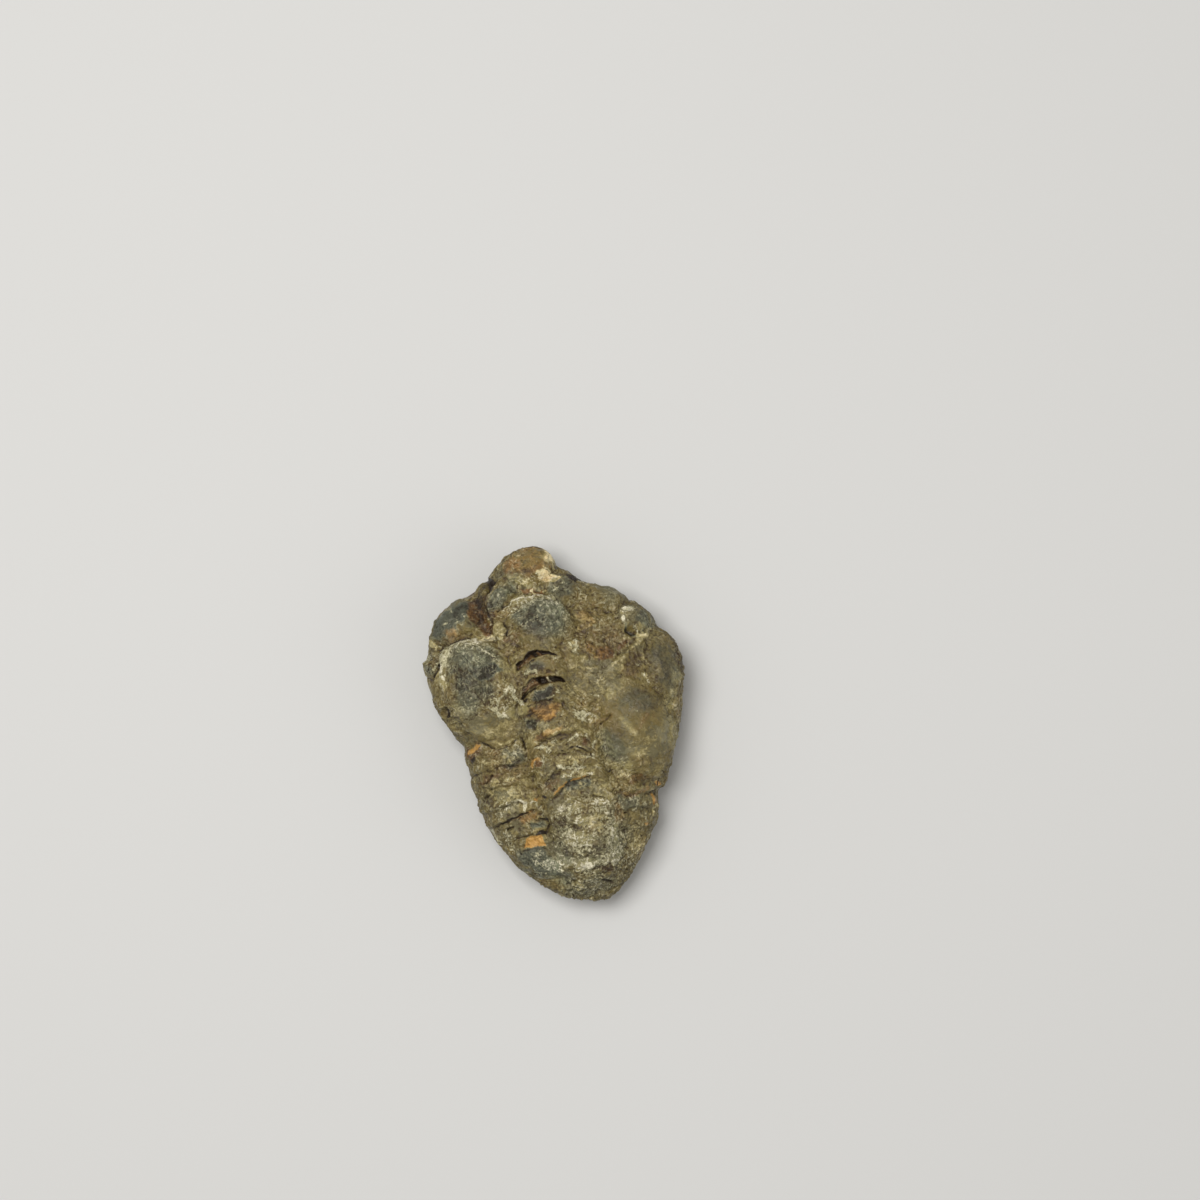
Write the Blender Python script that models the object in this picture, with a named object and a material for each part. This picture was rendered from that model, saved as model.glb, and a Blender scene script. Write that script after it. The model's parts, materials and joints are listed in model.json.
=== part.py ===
"""A trilobite fossil: one stone nodule that keeps the animal's whole back, head to tail.

The head end is at +Y and the back faces +Z. The stone is modelled as one closed body: an
icosphere is stretched over the outline, swollen to the height of the back, and then raised
and sunk by the named forms of the shell, such as the cheeks, the rings and the ribs. A flat
worn patch under the belly is what it rests on. Lengths here are in millimetres.
"""

import math

import bmesh
import bpy
import numpy as np
from mathutils import Vector, noise

MM = 0.001

LENGTH = 56.5
WIDTH = 40.2
RIM_HEIGHT = 6.4
RIM_LIFT_AT_HEAD = 0.9
BELLY_DEPTH = 0.55
FULLNESS = 0.75
RING_RELIEF = 1.4
WANDER = 0.7
ROUGHNESS = 0.38
BELLY_ROUGHNESS = 0.6
BELLY_GROOVE = 0.5
SPHERE_LEVEL = 7
TRIANGLES_KEPT = 9400

# The edge of the stone seen from above, clockwise from the snout.
OUTLINE = [
    (-2.6, 28.1),
    (0.9, 27.8),
    (2.8, 25.0),
    (5.5, 23.2),
    (7.2, 21.3),
    (9.9, 20.2),
    (12.9, 18.2),
    (15.3, 15.6),
    (16.9, 14.0),
    (17.3, 11.9),
    (18.6, 11.4),
    (19.7, 8.8),
    (20.1, 5.5),
    (19.1, 0.5),
    (16.9, -5.2),
    (15.3, -10.2),
    (14.4, -12.2),
    (12.9, -12.8),
    (12.5, -16.2),
    (10.1, -20.0),
    (7.1, -23.8),
    (4.4, -26.9),
    (2.9, -28.0),
    (0.7, -28.3),
    (-3.7, -27.0),
    (-8.1, -23.9),
    (-12.0, -19.2),
    (-14.3, -14.0),
    (-15.3, -9.2),
    (-16.1, -7.0),
    (-15.8, -4.6),
    (-16.3, -2.5),
    (-16.1, -0.5),
    (-18.3, 3.3),
    (-19.8, 9.0),
    (-20.1, 12.0),
    (-18.9, 15.6),
    (-17.3, 18.6),
    (-12.3, 22.2),
    (-9.3, 23.9),
    (-7.1, 25.3),
    (-4.9, 27.5),
]

# Height of the back along the middle, without the forms: (y, height).
BACK = [(-28, 10.8), (-22, 13.8), (-15, 15.0), (-4, 15.4), (8, 15.4), (16, 15.0), (22, 13.4), (28, 11.6)]

# Swellings: centre x and y, half sizes, turn in degrees, height, crispness of the edge.
SWELLINGS = {
    "snout": (-1.2, 25.6, 4.6, 3.0, 0, 1.7, 0.8),
    "glabella": (-1.1, 16.4, 5.4, 4.7, 0, 1.8, 1.0),
    "lobe_beside_snout": (-6.0, 22.4, 3.6, 1.7, 42, 0.9, 0.8),
    "knob_at_right_of_snout": (3.6, 21.2, 2.6, 2.4, 0, 0.9, 0.8),
    "left_front_cheek": (-14.2, 19.0, 4.6, 2.9, 35, 1.2, 0.7),
    "left_cheek": (-12.8, 8.2, 6.6, 8.6, 8, 2.0, 0.8),
    "left_cheek_crown": (-12.6, 10.2, 3.6, 4.6, 20, 0.7, 1.6),
    "eye_knob": (-7.4, 16.3, 1.5, 1.5, 0, 0.9, 0.7),
    "rim_bead_front": (-18.0, 15.9, 0.9, 1.7, -12, 0.6, 0.7),
    "rim_bead": (-18.7, 12.0, 1.3, 1.6, 0, 0.7, 0.7),
    "right_front_cheek": (10.2, 18.7, 4.4, 2.0, -28, 1.0, 0.8),
    "right_eye_cheek": (14.3, 15.0, 2.8, 2.2, -40, 1.0, 0.8),
    "right_cheek": (17.4, 6.8, 2.9, 5.6, 0, 1.0, 0.8),
    "right_shoulder": (11.6, -2.6, 5.6, 8.6, 12, 1.5, 1.0),
    "tail_left_lobe": (-7.2, -20.6, 4.2, 2.4, -34, 0.9, 0.9),
    "tail_boss": (0.6, -20.6, 5.4, 5.6, 0, 0.7, 1.2),
}

# Hollows: as the swellings, with a depth.
HOLLOWS = {
    "basin_in_right_cheek": (9.0, 12.6, 4.2, 4.4, 0, 0.9, 1.3),
    "dark_hollow": (13.1, 12.9, 1.1, 1.0, 0, 0.7, 1.0),
    "pit_at_left_rim": (-17.4, 5.0, 0.8, 1.1, 0, 0.9, 1.0),
    "hollow_beside_ring": (-4.9, 0.9, 1.2, 1.0, 0, 0.5, 1.2),
    "ring_pit": (-2.3, -24.0, 1.0, 1.0, 0, 0.5, 1.2),
}

# Furrows: points of the path, width, depth.
FURROWS = {
    "front_furrow": ([(-4.2, 22.4), (-1.3, 21.7), (2.6, 21.4)], 1.8, 0.9),
    "furrow_left_of_snout": ([(-10.9, 22.4), (-10.1, 18.4), (-8.8, 16.6)], 2.3, 1.3),
    "furrow_above_left_cheek": ([(-18.0, 15.2), (-15.5, 15.7), (-11.6, 16.4), (-8.6, 15.0)], 1.3, 0.9),
    "left_axial_furrow": ([(-6.6, 13.6), (-6.6, 9.0), (-6.0, 4.2), (-6.6, -1.6), (-6.2, -7.0)], 1.5, 0.8),
    "left_tail_furrow": ([(-6.2, -7.0), (-5.6, -12.5), (-4.9, -17.5)], 1.3, 0.5),
    "right_axial_furrow": ([(5.2, 1.6), (5.9, -4.0), (6.4, -9.0)], 1.7, 0.6),
    "furrow_by_right_knob": ([(4.4, 18.4), (5.6, 14.6), (4.6, 11.0)], 1.6, 0.6),
    "furrow_under_right_front": ([(7.6, 16.9), (10.6, 16.7), (13.1, 17.1)], 1.1, 0.6),
    "furrow_inside_right_cheek": ([(15.2, 11.4), (14.3, 8.0), (14.9, 3.6)], 1.2, 0.7),
    "left_rim_furrow": ([(-17.7, 13.0), (-17.5, 9.0), (-16.6, 4.6), (-14.6, 0.2)], 1.2, 0.5),
    "right_rib_gap_1": ([(6.6, -8.3), (10.0, -10.0), (14.2, -11.4)], 1.2, 0.7),
    "right_rib_gap_2": ([(6.4, -11.6), (9.5, -12.6), (13.4, -13.0)], 1.0, 0.6),
    "right_rib_gap_3": ([(6.2, -14.9), (12.2, -15.5)], 1.0, 0.5),
    "right_rib_gap_4": ([(5.8, -17.6), (11.2, -18.8)], 1.0, 0.5),
}

# Open gaps between the rings, each a crescent with its steep wall toward the head.
GAPS = {
    "first_gap": ([(-6.0, 9.7), (-4.9, 10.9), (-3.4, 11.8), (-2.1, 12.0), (-0.6, 11.6), (0.9, 10.7)], 1.5, 1.7),
    "second_gap": ([(-6.0, 5.2), (-5.0, 6.4), (-3.5, 7.5), (-1.6, 7.9), (0.4, 7.8), (1.8, 6.6)], 1.6, 1.8),
}

# Edges of overlapping plates: the stone drops on the tail side of each path. Path, drop.
LEDGES = {
    "ring_3": ([(-5.2, 2.3), (-4.3, 3.6), (-3.2, 4.5), (-1.5, 4.7), (0.7, 3.6), (1.4, 2.0)], 0.8),
    "ring_4": ([(-5.3, -2.3), (-3.1, -1.3), (-1.1, -1.0), (2.0, -1.2), (4.6, -2.4)], 0.7),
    "ring_5": ([(-5.0, -5.4), (-2.6, -4.0), (0.6, -3.8), (3.8, -4.7), (5.2, -6.0)], 0.7),
    "ring_6": ([(-5.4, -8.6), (-2.9, -7.0), (0.0, -6.2), (3.1, -6.5), (5.6, -8.0)], 0.7),
    "ring_7": ([(-5.0, -11.6), (-3.2, -10.2), (-0.6, -8.5), (2.9, -8.1), (5.6, -9.8)], 0.8),
    "ring_8": ([(-3.8, -13.4), (-0.8, -11.4), (2.8, -11.2), (5.7, -12.4)], 0.7),
    "ring_9": ([(-4.4, -16.2), (-1.0, -15.0), (3.0, -15.0), (5.6, -15.8)], 0.5),
    "left_rib_1": ([(-16.2, -0.2), (-13.2, -0.5), (-11.2, -1.8), (-7.4, -0.4)], 0.9),
    "left_rib_2": ([(-16.6, -5.6), (-13.1, -4.8), (-10.6, -4.4), (-7.4, -4.6)], 0.7),
    "left_rib_3": ([(-15.8, -8.8), (-13.0, -7.6), (-10.1, -7.4), (-7.2, -8.4)], 0.6),
    "left_rib_4": ([(-15.4, -11.6), (-12.0, -11.0), (-9.0, -10.3), (-6.6, -11.0)], 0.8),
    "left_rib_5": ([(-14.6, -14.0), (-11.5, -13.0), (-8.6, -12.5), (-6.2, -11.6)], 0.9),
    "left_rib_6": ([(-13.4, -16.9), (-10.2, -15.9), (-6.4, -16.0)], 0.6),
}


def smooth(values):
    held = np.clip(values, 0.0, 1.0)
    return held * held * (3.0 - 2.0 * held)


def outline_radius(angles):
    """Distance from the middle to the edge of the stone, with its corners eased."""
    corners = np.array(OUTLINE)
    corner_angles = np.arctan2(corners[:, 1], corners[:, 0])
    corner_radii = np.hypot(corners[:, 0], corners[:, 1])
    eased = np.zeros_like(angles)
    for shift in np.radians((-2.4, -1.2, 0.0, 1.2, 2.4)):
        eased += np.interp(angles + shift, corner_angles, corner_radii, period=2 * math.pi)
    return eased / 5


def back_height(y):
    """Height of the back along its middle line, with the joins of the profile eased."""
    stations = [station for station, _ in BACK]
    heights = [height for _, height in BACK]
    eased = np.zeros_like(y)
    for shift in (-3.0, -1.5, 0.0, 1.5, 3.0):
        eased += np.interp(y + shift, stations, heights)
    return eased / 5


def nodule_points(directions):
    """The smooth stone: each direction from the middle becomes a point on its surface."""
    flat = np.hypot(directions[:, 0], directions[:, 1])
    angles = np.arctan2(directions[:, 1], directions[:, 0])
    reach = outline_radius(angles) * flat**FULLNESS
    points = np.empty_like(directions)
    points[:, 0] = reach * np.cos(angles)
    points[:, 1] = reach * np.sin(angles)
    rim = RIM_HEIGHT + RIM_LIFT_AT_HEAD * np.sin(angles) * flat
    rise = np.abs(directions[:, 2]) ** FULLNESS
    above = rim + (back_height(points[:, 1]) - rim) * rise
    below = rim - (rim + BELLY_DEPTH) * rise
    points[:, 2] = np.where(directions[:, 2] > 0, above, below)
    return points


def oval(points, form):
    """1 at the middle of an oval form and 0 outside it."""
    x, y, half_x, half_y, turn, _, crispness = form
    cosine = math.cos(math.radians(turn))
    sine = math.sin(math.radians(turn))
    across = (points[:, 0] - x) * cosine + (points[:, 1] - y) * sine
    along = (points[:, 1] - y) * cosine - (points[:, 0] - x) * sine
    inside = 1.0 - (across / half_x) ** 2 - (along / half_y) ** 2
    return np.clip(inside, 0.0, 1.0) ** crispness


def path_distance(points, path):
    """Distance to a path, its side (positive toward the tail) and the run along it, 0 to 1."""
    corners = np.array(path)
    lengths = np.hypot(*(corners[1:] - corners[:-1]).T)
    nearest = np.full(len(points), np.inf)
    side = np.zeros(len(points))
    run = np.zeros(len(points))
    done = 0.0
    for start, end, length in zip(corners[:-1], corners[1:], lengths):
        step = (end - start) / length
        offset = points[:, :2] - start
        travel = np.clip(offset @ step, 0.0, length)
        away = offset - travel[:, None] * step
        distance = np.hypot(away[:, 0], away[:, 1])
        closer = distance < nearest
        cross = offset[:, 0] * step[1] - offset[:, 1] * step[0]
        nearest = np.where(closer, distance, nearest)
        side = np.where(closer, np.sign(cross), side)
        run = np.where(closer, (done + travel) / lengths.sum(), run)
        done += length
    return nearest, side, run


def furrow(points, path, width):
    """1 along the bottom of a rounded furrow and 0 beyond its banks."""
    distance, _, _ = path_distance(points, path)
    return smooth(1.0 - distance / width)


def gap(points, path, width):
    """A crescent slot: full at its steep wall toward the head and shallow toward the tail."""
    distance, side, run = path_distance(points, path)
    reach = width * np.clip(4.0 * run * (1.0 - run), 0.0, 1.0) ** 0.6 + 0.05
    tail_side = smooth(1.0 - distance / reach)
    head_side = smooth(1.0 - distance / (0.55 * reach))
    return np.where(side > 0, tail_side, head_side)


def ledge(points, path):
    """A lifted edge on the head side of the path and a drop on its tail side."""
    distance, side, run = path_distance(points, path)
    ends = smooth(np.minimum(run, 1.0 - run) / 0.16) * 0.75 + 0.25
    lifted = 0.45 * smooth(1.0 - distance / 2.2)
    dropped = -0.55 * smooth(1.0 - distance / 1.9)
    step = np.where(side > 0, dropped, lifted) * smooth(distance / 0.55)
    return step * ends


def ring_axis(points):
    """The raised middle lobe that carries the rings, wider toward the tail."""
    y = points[:, 1]
    middle = np.interp(y, (-20, -12, -4, 8), (0.7, 0.1, -0.9, -2.2))
    half = np.interp(y, (-27, -20, -12, -4, 8), (4.6, 6.0, 6.2, 5.7, 4.4))
    across = np.clip(1.0 - ((points[:, 0] - middle) / half) ** 2, 0.0, 1.0)
    return across**0.8 * smooth((y + 27.5) / 5.0) * smooth((13.6 - y) / 2.5)


def weathering(points, scale, seed):
    """Lumps and dents of worn stone, about -1 to 1, as wide as the scale."""
    drift = Vector((seed, 2.3 * seed, -seed))
    return np.array([noise.fractal(Vector(point) / scale + drift, 0.9, 2.1, 3) for point in points])


def belly_relief(directions, stone):
    """The rough underside: worn lumps, and a groove where the rolled rim of the shell ends."""
    flat = np.hypot(directions[:, 0], directions[:, 1])
    worn = smooth(0.5 + weathering(stone, 9.0, 6.0))
    groove = smooth(1.0 - np.abs(flat - 0.84) / 0.12)
    return BELLY_ROUGHNESS * weathering(stone, 6.0, 9.0) - BELLY_GROOVE * worn * groove


def shell_relief(stone):
    """Height that the forms of the shell add to the smooth back, each a little out of true."""
    points = stone.copy()
    points[:, 0] += WANDER * weathering(stone, 7.0, 1.0)
    points[:, 1] += WANDER * weathering(stone, 7.0, 2.0)
    relief = RING_RELIEF * ring_axis(points)
    for form in SWELLINGS.values():
        relief += form[5] * oval(points, form)
    for form in HOLLOWS.values():
        relief -= form[5] * oval(points, form)
    for path, width, depth in FURROWS.values():
        relief -= depth * furrow(points, path, width)
    for path, drop in LEDGES.values():
        relief += drop * ledge(points, path)
    for path, width, depth in GAPS.values():
        relief -= depth * gap(points, path, width)
    return relief


def carve(mesh):
    """Turns the unit sphere in the mesh into the stone, then raises and sinks its surface."""
    count = len(mesh.vertices)
    coordinates = np.empty(count * 3)
    mesh.vertices.foreach_get("co", coordinates)
    directions = coordinates.reshape(-1, 3)
    directions /= np.linalg.norm(directions, axis=1)[:, None]
    stone = nodule_points(directions)
    mesh.vertices.foreach_set("co", stone.ravel())
    mesh.update()
    normals = np.empty(count * 3)
    mesh.vertex_normals.foreach_get("vector", normals)
    on_back = smooth((directions[:, 2] + 0.22) / 0.4)
    lift = on_back * (shell_relief(stone) + ROUGHNESS * weathering(stone, 3.2, 4.0))
    lift += (1.0 - on_back) * belly_relief(directions, stone)
    stone += normals.reshape(-1, 3) * lift[:, None]
    stone[:, :2] *= np.array((WIDTH, LENGTH)) / np.ptp(stone[:, :2], axis=0)
    stone[:, :2] -= (stone[:, :2].max(axis=0) + stone[:, :2].min(axis=0)) / 2
    mesh.vertices.foreach_set("co", (stone * MM).ravel())
    mesh.update()


def stone_material():
    material = bpy.data.materials.new("fossil_stone")
    material.use_nodes = True
    surface = material.node_tree.nodes["Principled BSDF"]
    surface.inputs["Base Color"].default_value = (0.17, 0.14, 0.08, 1.0)
    surface.inputs["Roughness"].default_value = 0.55
    return material


def worn_ground(collection):
    """A block below the ground level, whose top face wears the belly flat."""
    mesh = bpy.data.meshes.new("worn_ground")
    block = bmesh.new()
    bmesh.ops.create_cube(block, size=1.0)
    bmesh.ops.scale(block, vec=(0.08, 0.1, 0.02), verts=block.verts)
    bmesh.ops.translate(block, vec=(0.0, 0.0, -0.01), verts=block.verts)
    block.to_mesh(mesh)
    block.free()
    ground = bpy.data.objects.new("worn_ground", mesh)
    ground.hide_render = True
    ground.display_type = "WIRE"
    collection.objects.link(ground)
    return ground


def trilobite_stone(collection, ground):
    mesh = bpy.data.meshes.new("trilobite_fossil")
    sphere = bmesh.new()
    bmesh.ops.create_icosphere(sphere, subdivisions=SPHERE_LEVEL, radius=1.0)
    triangles = len(sphere.faces)
    sphere.to_mesh(mesh)
    sphere.free()
    carve(mesh)
    mesh.materials.append(stone_material())
    stone = bpy.data.objects.new("trilobite_fossil", mesh)
    collection.objects.link(stone)
    fewer = stone.modifiers.new("fewer_facets", "DECIMATE")
    fewer.ratio = TRIANGLES_KEPT / triangles
    worn = stone.modifiers.new("worn_rest_face", "BOOLEAN")
    worn.operation = "DIFFERENCE"
    worn.solver = "EXACT"
    worn.object = ground
    return stone


def new_collection(name):
    collection = bpy.data.collections.new(name)
    bpy.context.scene.collection.children.link(collection)
    return collection


def main():
    for old in list(bpy.data.objects):
        bpy.data.objects.remove(old, do_unlink=True)
    cutters = new_collection("cutters")
    cutters.hide_render = True
    ground = worn_ground(cutters)
    trilobite_stone(new_collection("trilobite_fossil_part"), ground)


main()
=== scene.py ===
"""The looks of a trilobite fossil: weathered calcite shell in a limestone nodule, back upward.

Places and sizes in the lists are in millimetres, in the frame of the stone: +Y is the head,
+X is to the right, +Z is up out of the back.
"""

import json
import math

import bmesh
import bpy
import numpy as np
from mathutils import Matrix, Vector, noise

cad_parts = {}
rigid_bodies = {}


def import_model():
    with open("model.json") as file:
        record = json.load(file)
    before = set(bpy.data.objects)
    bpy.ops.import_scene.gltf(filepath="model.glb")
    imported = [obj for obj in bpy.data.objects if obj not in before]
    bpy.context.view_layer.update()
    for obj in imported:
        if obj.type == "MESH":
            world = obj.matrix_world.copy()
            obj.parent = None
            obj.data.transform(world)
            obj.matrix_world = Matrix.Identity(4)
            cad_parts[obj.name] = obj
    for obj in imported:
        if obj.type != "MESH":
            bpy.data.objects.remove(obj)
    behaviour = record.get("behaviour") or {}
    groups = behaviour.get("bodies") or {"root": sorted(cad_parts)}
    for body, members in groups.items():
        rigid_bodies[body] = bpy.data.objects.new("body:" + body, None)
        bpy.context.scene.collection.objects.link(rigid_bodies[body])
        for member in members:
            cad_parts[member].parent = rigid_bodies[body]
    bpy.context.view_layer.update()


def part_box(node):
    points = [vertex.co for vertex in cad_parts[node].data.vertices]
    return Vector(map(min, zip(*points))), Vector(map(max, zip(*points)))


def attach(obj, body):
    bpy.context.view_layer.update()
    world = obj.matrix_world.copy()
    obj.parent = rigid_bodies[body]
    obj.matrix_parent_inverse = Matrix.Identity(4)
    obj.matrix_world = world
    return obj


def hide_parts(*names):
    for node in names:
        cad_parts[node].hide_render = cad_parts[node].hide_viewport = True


for leftover in list(bpy.data.objects):
    bpy.data.objects.remove(leftover, do_unlink=True)
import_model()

MM = 0.001
SPHERE_LEVEL = 9
TRIANGLES_KEPT = 194000

# ---------------------------------------------------------------- the stone's own sizes

# The smooth nodule. The lower its fullness, the squarer its section.
RIM_HEIGHT = 6.4
RIM_LIFT_AT_HEAD = 0.9
BELLY_DEPTH = 0.55
FULLNESS = 0.75

# The middle lobe: how far it rises, and stations (y) with its middle (x) and its half width.
RING_RELIEF = 1.4
AXIS_MIDDLE = ((-20, -12, -4, 8), (0.7, 0.1, -0.9, -2.2))
AXIS_HALF_WIDTH = ((-27, -20, -12, -4, 8), (4.6, 6.0, 6.2, 5.7, 4.4))

# How far the forms stray from true, over long and short runs, and the lumps of worn stone.
WANDER = 0.3
WOBBLE = 0.2
ROUGHNESS = 0.38

# The belly: its lumps, and the groove along the rolled rim, by distance from the middle, 0 to 1.
BELLY_ROUGHNESS = 0.6
GROOVE_DEPTH = 0.5
GROOVE_PLACE = 0.84
GROOVE_WIDTH = 0.12

# Fine relief: heights, and the widths of a chip's facet and of a sparry grain.
GROWTH_LINE_HEIGHT = 0.12
FACET_HEIGHT = 0.14
FACET_WIDTH = 1.5
GRAIN_HEIGHT = 0.2
GRAIN_WIDTH = 0.95
WRINKLE_HEIGHT = 0.13
HAIR_CRACK_DEPTH = 0.16
SOOT_CRACK_DEPTH = 0.2
SOOT_CRACK_WIDTH = 0.3

# How steep the edges of the gaps and of the chip are: the run over which they reach full depth.
GAP_EDGE = 0.45
CHIP_EDGE = 0.3

# The edge of a plate: how far it lifts on the head side and drops on the tail side, over what
# widths, and the width of the step itself.
LEDGE_LIFT = 0.4
LEDGE_LIFT_WIDTH = 2.2
LEDGE_DROP = 0.35
LEDGE_DROP_WIDTH = 1.5
LEDGE_STEP_WIDTH = 0.3

# Stains start at this height up the flanks and are full this much higher. Their edges wander
# this far on the back, and this far up and down the flanks.
STAIN_FOOT = 4.8
STAIN_FADE = 3.0
STAIN_WANDER = 0.9
FLANK_WANDER = 1.4

# Hollows are measured against the mean of the points round them, this many edges away.
FINE_HOLLOW_REACH = 2
WIDE_HOLLOW_REACH = 14

# The edge of the stone seen from above, clockwise from the snout.
OUTLINE = [
    (-2.6, 28.1), (0.9, 27.8), (2.8, 25.0), (5.5, 23.2), (7.2, 21.3), (9.9, 20.2), (12.9, 18.2),
    (15.3, 15.6), (16.9, 14.0), (17.3, 11.9), (18.6, 11.4), (19.7, 8.8), (20.1, 5.5), (19.1, 0.5),
    (16.9, -5.2), (15.3, -10.2), (14.4, -12.2), (12.9, -12.8), (12.5, -16.2), (10.1, -20.0),
    (7.1, -23.8), (4.4, -26.9), (2.9, -28.0), (0.7, -28.3), (-3.7, -27.0), (-8.1, -23.9),
    (-12.0, -19.2), (-14.3, -14.0), (-15.3, -9.2), (-16.1, -7.0), (-15.8, -4.6), (-16.3, -2.5),
    (-16.1, -0.5), (-18.3, 3.3), (-19.8, 9.0), (-20.1, 12.0), (-18.9, 15.6), (-17.3, 18.6),
    (-12.3, 22.2), (-9.3, 23.9), (-7.1, 25.3), (-4.9, 27.5),
]

# Height of the back along the middle, without the forms: (y, height).
BACK = [(-28, 10.8), (-22, 13.8), (-15, 15.0), (-4, 15.4), (8, 15.4), (16, 15.0), (22, 13.4), (28, 11.6)]

# Swellings: centre x and y, half sizes, turn in degrees, height, crispness of the edge.
SWELLINGS = {
    "snout": (-1.2, 25.6, 4.6, 3.0, 0, 1.7, 0.8),
    "glabella": (-1.1, 16.4, 5.4, 4.7, 0, 1.8, 1.0),
    "lobe_beside_snout": (-6.0, 22.4, 3.6, 1.7, 42, 0.9, 0.8),
    "knob_at_right_of_snout": (3.6, 21.2, 2.6, 2.4, 0, 0.9, 0.8),
    "left_front_cheek": (-14.2, 19.0, 4.6, 2.9, 35, 1.2, 0.7),
    "left_cheek": (-12.8, 8.2, 6.6, 8.6, 8, 2.0, 0.8),
    "left_cheek_crown": (-12.6, 10.2, 3.6, 4.6, 20, 0.7, 1.6),
    "eye_knob": (-7.4, 16.3, 1.5, 1.5, 0, 0.9, 0.7),
    "rim_bead_front": (-18.0, 15.9, 0.9, 1.7, -12, 0.6, 0.7),
    "rim_bead": (-18.7, 12.0, 1.3, 1.6, 0, 0.7, 0.7),
    "right_front_cheek": (10.2, 18.7, 4.4, 2.0, -28, 1.0, 0.8),
    "right_eye_cheek": (14.3, 15.0, 2.8, 2.2, -40, 1.0, 0.8),
    "right_cheek": (17.4, 6.8, 2.9, 5.6, 0, 1.0, 0.8),
    "right_shoulder": (11.6, -2.6, 5.6, 8.6, 12, 1.5, 1.0),
    "tail_left_lobe": (-7.2, -20.6, 4.2, 2.4, -34, 0.9, 0.9),
    "tail_boss": (0.6, -20.6, 5.4, 5.6, 0, 0.7, 1.2),
}

# Hollows: as the swellings, with a depth.
HOLLOWS = {
    "basin_in_right_cheek": (9.0, 12.6, 4.2, 4.4, 0, 0.9, 1.3),
    "dark_hollow": (13.1, 12.9, 1.1, 1.0, 0, 0.7, 1.0),
    "pit_at_left_rim": (-17.4, 5.2, 0.8, 1.0, 0, 1.2, 1.0),
    "hollow_beside_ring": (-4.9, 0.9, 1.2, 1.0, 0, 0.5, 1.2),
    "ring_pit": (-2.3, -24.0, 1.0, 1.0, 0, 0.5, 1.2),
}

# Furrows: points of the path, width, depth.
FURROWS = {
    "front_furrow": ([(-4.2, 22.4), (-1.3, 21.7), (2.6, 21.4)], 1.8, 0.9),
    "furrow_left_of_snout": ([(-10.9, 22.4), (-10.1, 18.4), (-8.8, 16.6)], 2.3, 1.3),
    "furrow_above_left_cheek": ([(-18.0, 15.2), (-15.5, 15.7), (-11.6, 16.4), (-8.6, 15.0)], 1.3, 0.9),
    "left_axial_furrow": ([(-6.2, 4.6), (-6.6, -1.6), (-6.2, -7.0)], 1.5, 0.45),
    "left_tail_furrow": ([(-6.2, -7.0), (-5.6, -12.5), (-4.9, -17.5)], 1.3, 0.5),
    "right_axial_furrow": ([(5.2, 1.6), (5.9, -4.0), (6.4, -9.0)], 1.7, 0.6),
    "furrow_by_right_knob": ([(4.4, 18.4), (5.6, 14.6), (4.6, 11.0)], 1.6, 0.6),
    "furrow_under_right_front": ([(7.6, 16.9), (10.6, 16.7), (13.1, 17.1)], 1.1, 0.6),
    "furrow_inside_right_cheek": ([(15.2, 10.4), (14.9, 8.0), (15.2, 3.6)], 1.4, 0.3),
    "left_rim_furrow": ([(-17.7, 13.0), (-17.5, 9.0), (-16.6, 4.6), (-14.6, 0.2)], 1.2, 0.5),
    "right_rib_gap_1": ([(6.6, -8.3), (10.0, -10.0), (14.2, -11.4)], 1.4, 0.35),
    "right_rib_gap_2": ([(6.4, -11.6), (9.5, -12.6), (13.4, -13.0)], 1.0, 0.6),
    "right_rib_gap_3": ([(6.2, -14.9), (12.2, -15.5)], 1.0, 0.5),
    "right_rib_gap_4": ([(5.8, -17.6), (11.2, -18.8)], 1.0, 0.5),
}

# Open gaps between the rings: the outline of each opening, and its depth.
GAPS = {
    "first_gap": (
        [
            (-5.9, 9.6), (-5.3, 10.8), (-4.2, 11.6), (-3.1, 12.1), (-2.2, 12.35), (-1.2, 12.1),
            (-0.2, 11.6), (0.9, 10.7), (-0.4, 11.1), (-1.8, 10.95), (-3.0, 10.8), (-4.2, 10.1),
            (-5.4, 9.4),
        ],
        1.4,
    ),
    "second_gap": (
        [
            (-5.9, 5.1), (-5.4, 6.3), (-4.6, 7.3), (-3.2, 8.0), (-1.4, 8.3), (0.4, 8.0), (1.2, 7.6),
            (1.8, 6.6), (0.6, 6.8), (-0.8, 6.8), (-2.6, 6.6), (-4.2, 5.9), (-5.4, 5.1),
        ],
        1.6,
    ),
}

# Slivers of the hidden half rings that lie in the gaps: path, width, height over the floor.
SLIVERS = {
    "in_first_gap": ([(-5.0, 9.9), (-4.2, 10.6), (-3.2, 11.1)], 0.8, 0.9),
    "in_first_gap_pale": ([(-2.0, 11.9), (-1.6, 11.4)], 0.45, 1.3),
    "in_first_gap_right": ([(-1.3, 11.2), (-0.5, 11.1)], 0.45, 0.8),
    "in_second_gap": ([(-5.0, 6.2), (-4.1, 6.9), (-2.9, 7.3)], 0.8, 1.1),
    "in_second_gap_pale": ([(-1.15, 8.0), (-0.95, 7.4), (-0.5, 6.9)], 0.4, 1.5),
}

# The flat face left where a chip broke off, stained with ochre.
CHIP = [(-9.0, -16.5), (-7.9, -16.15), (-6.4, -16.1), (-5.9, -18.1), (-7.4, -17.9), (-9.6, -18.0)]
CHIP_DEPTH = 0.15

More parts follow.
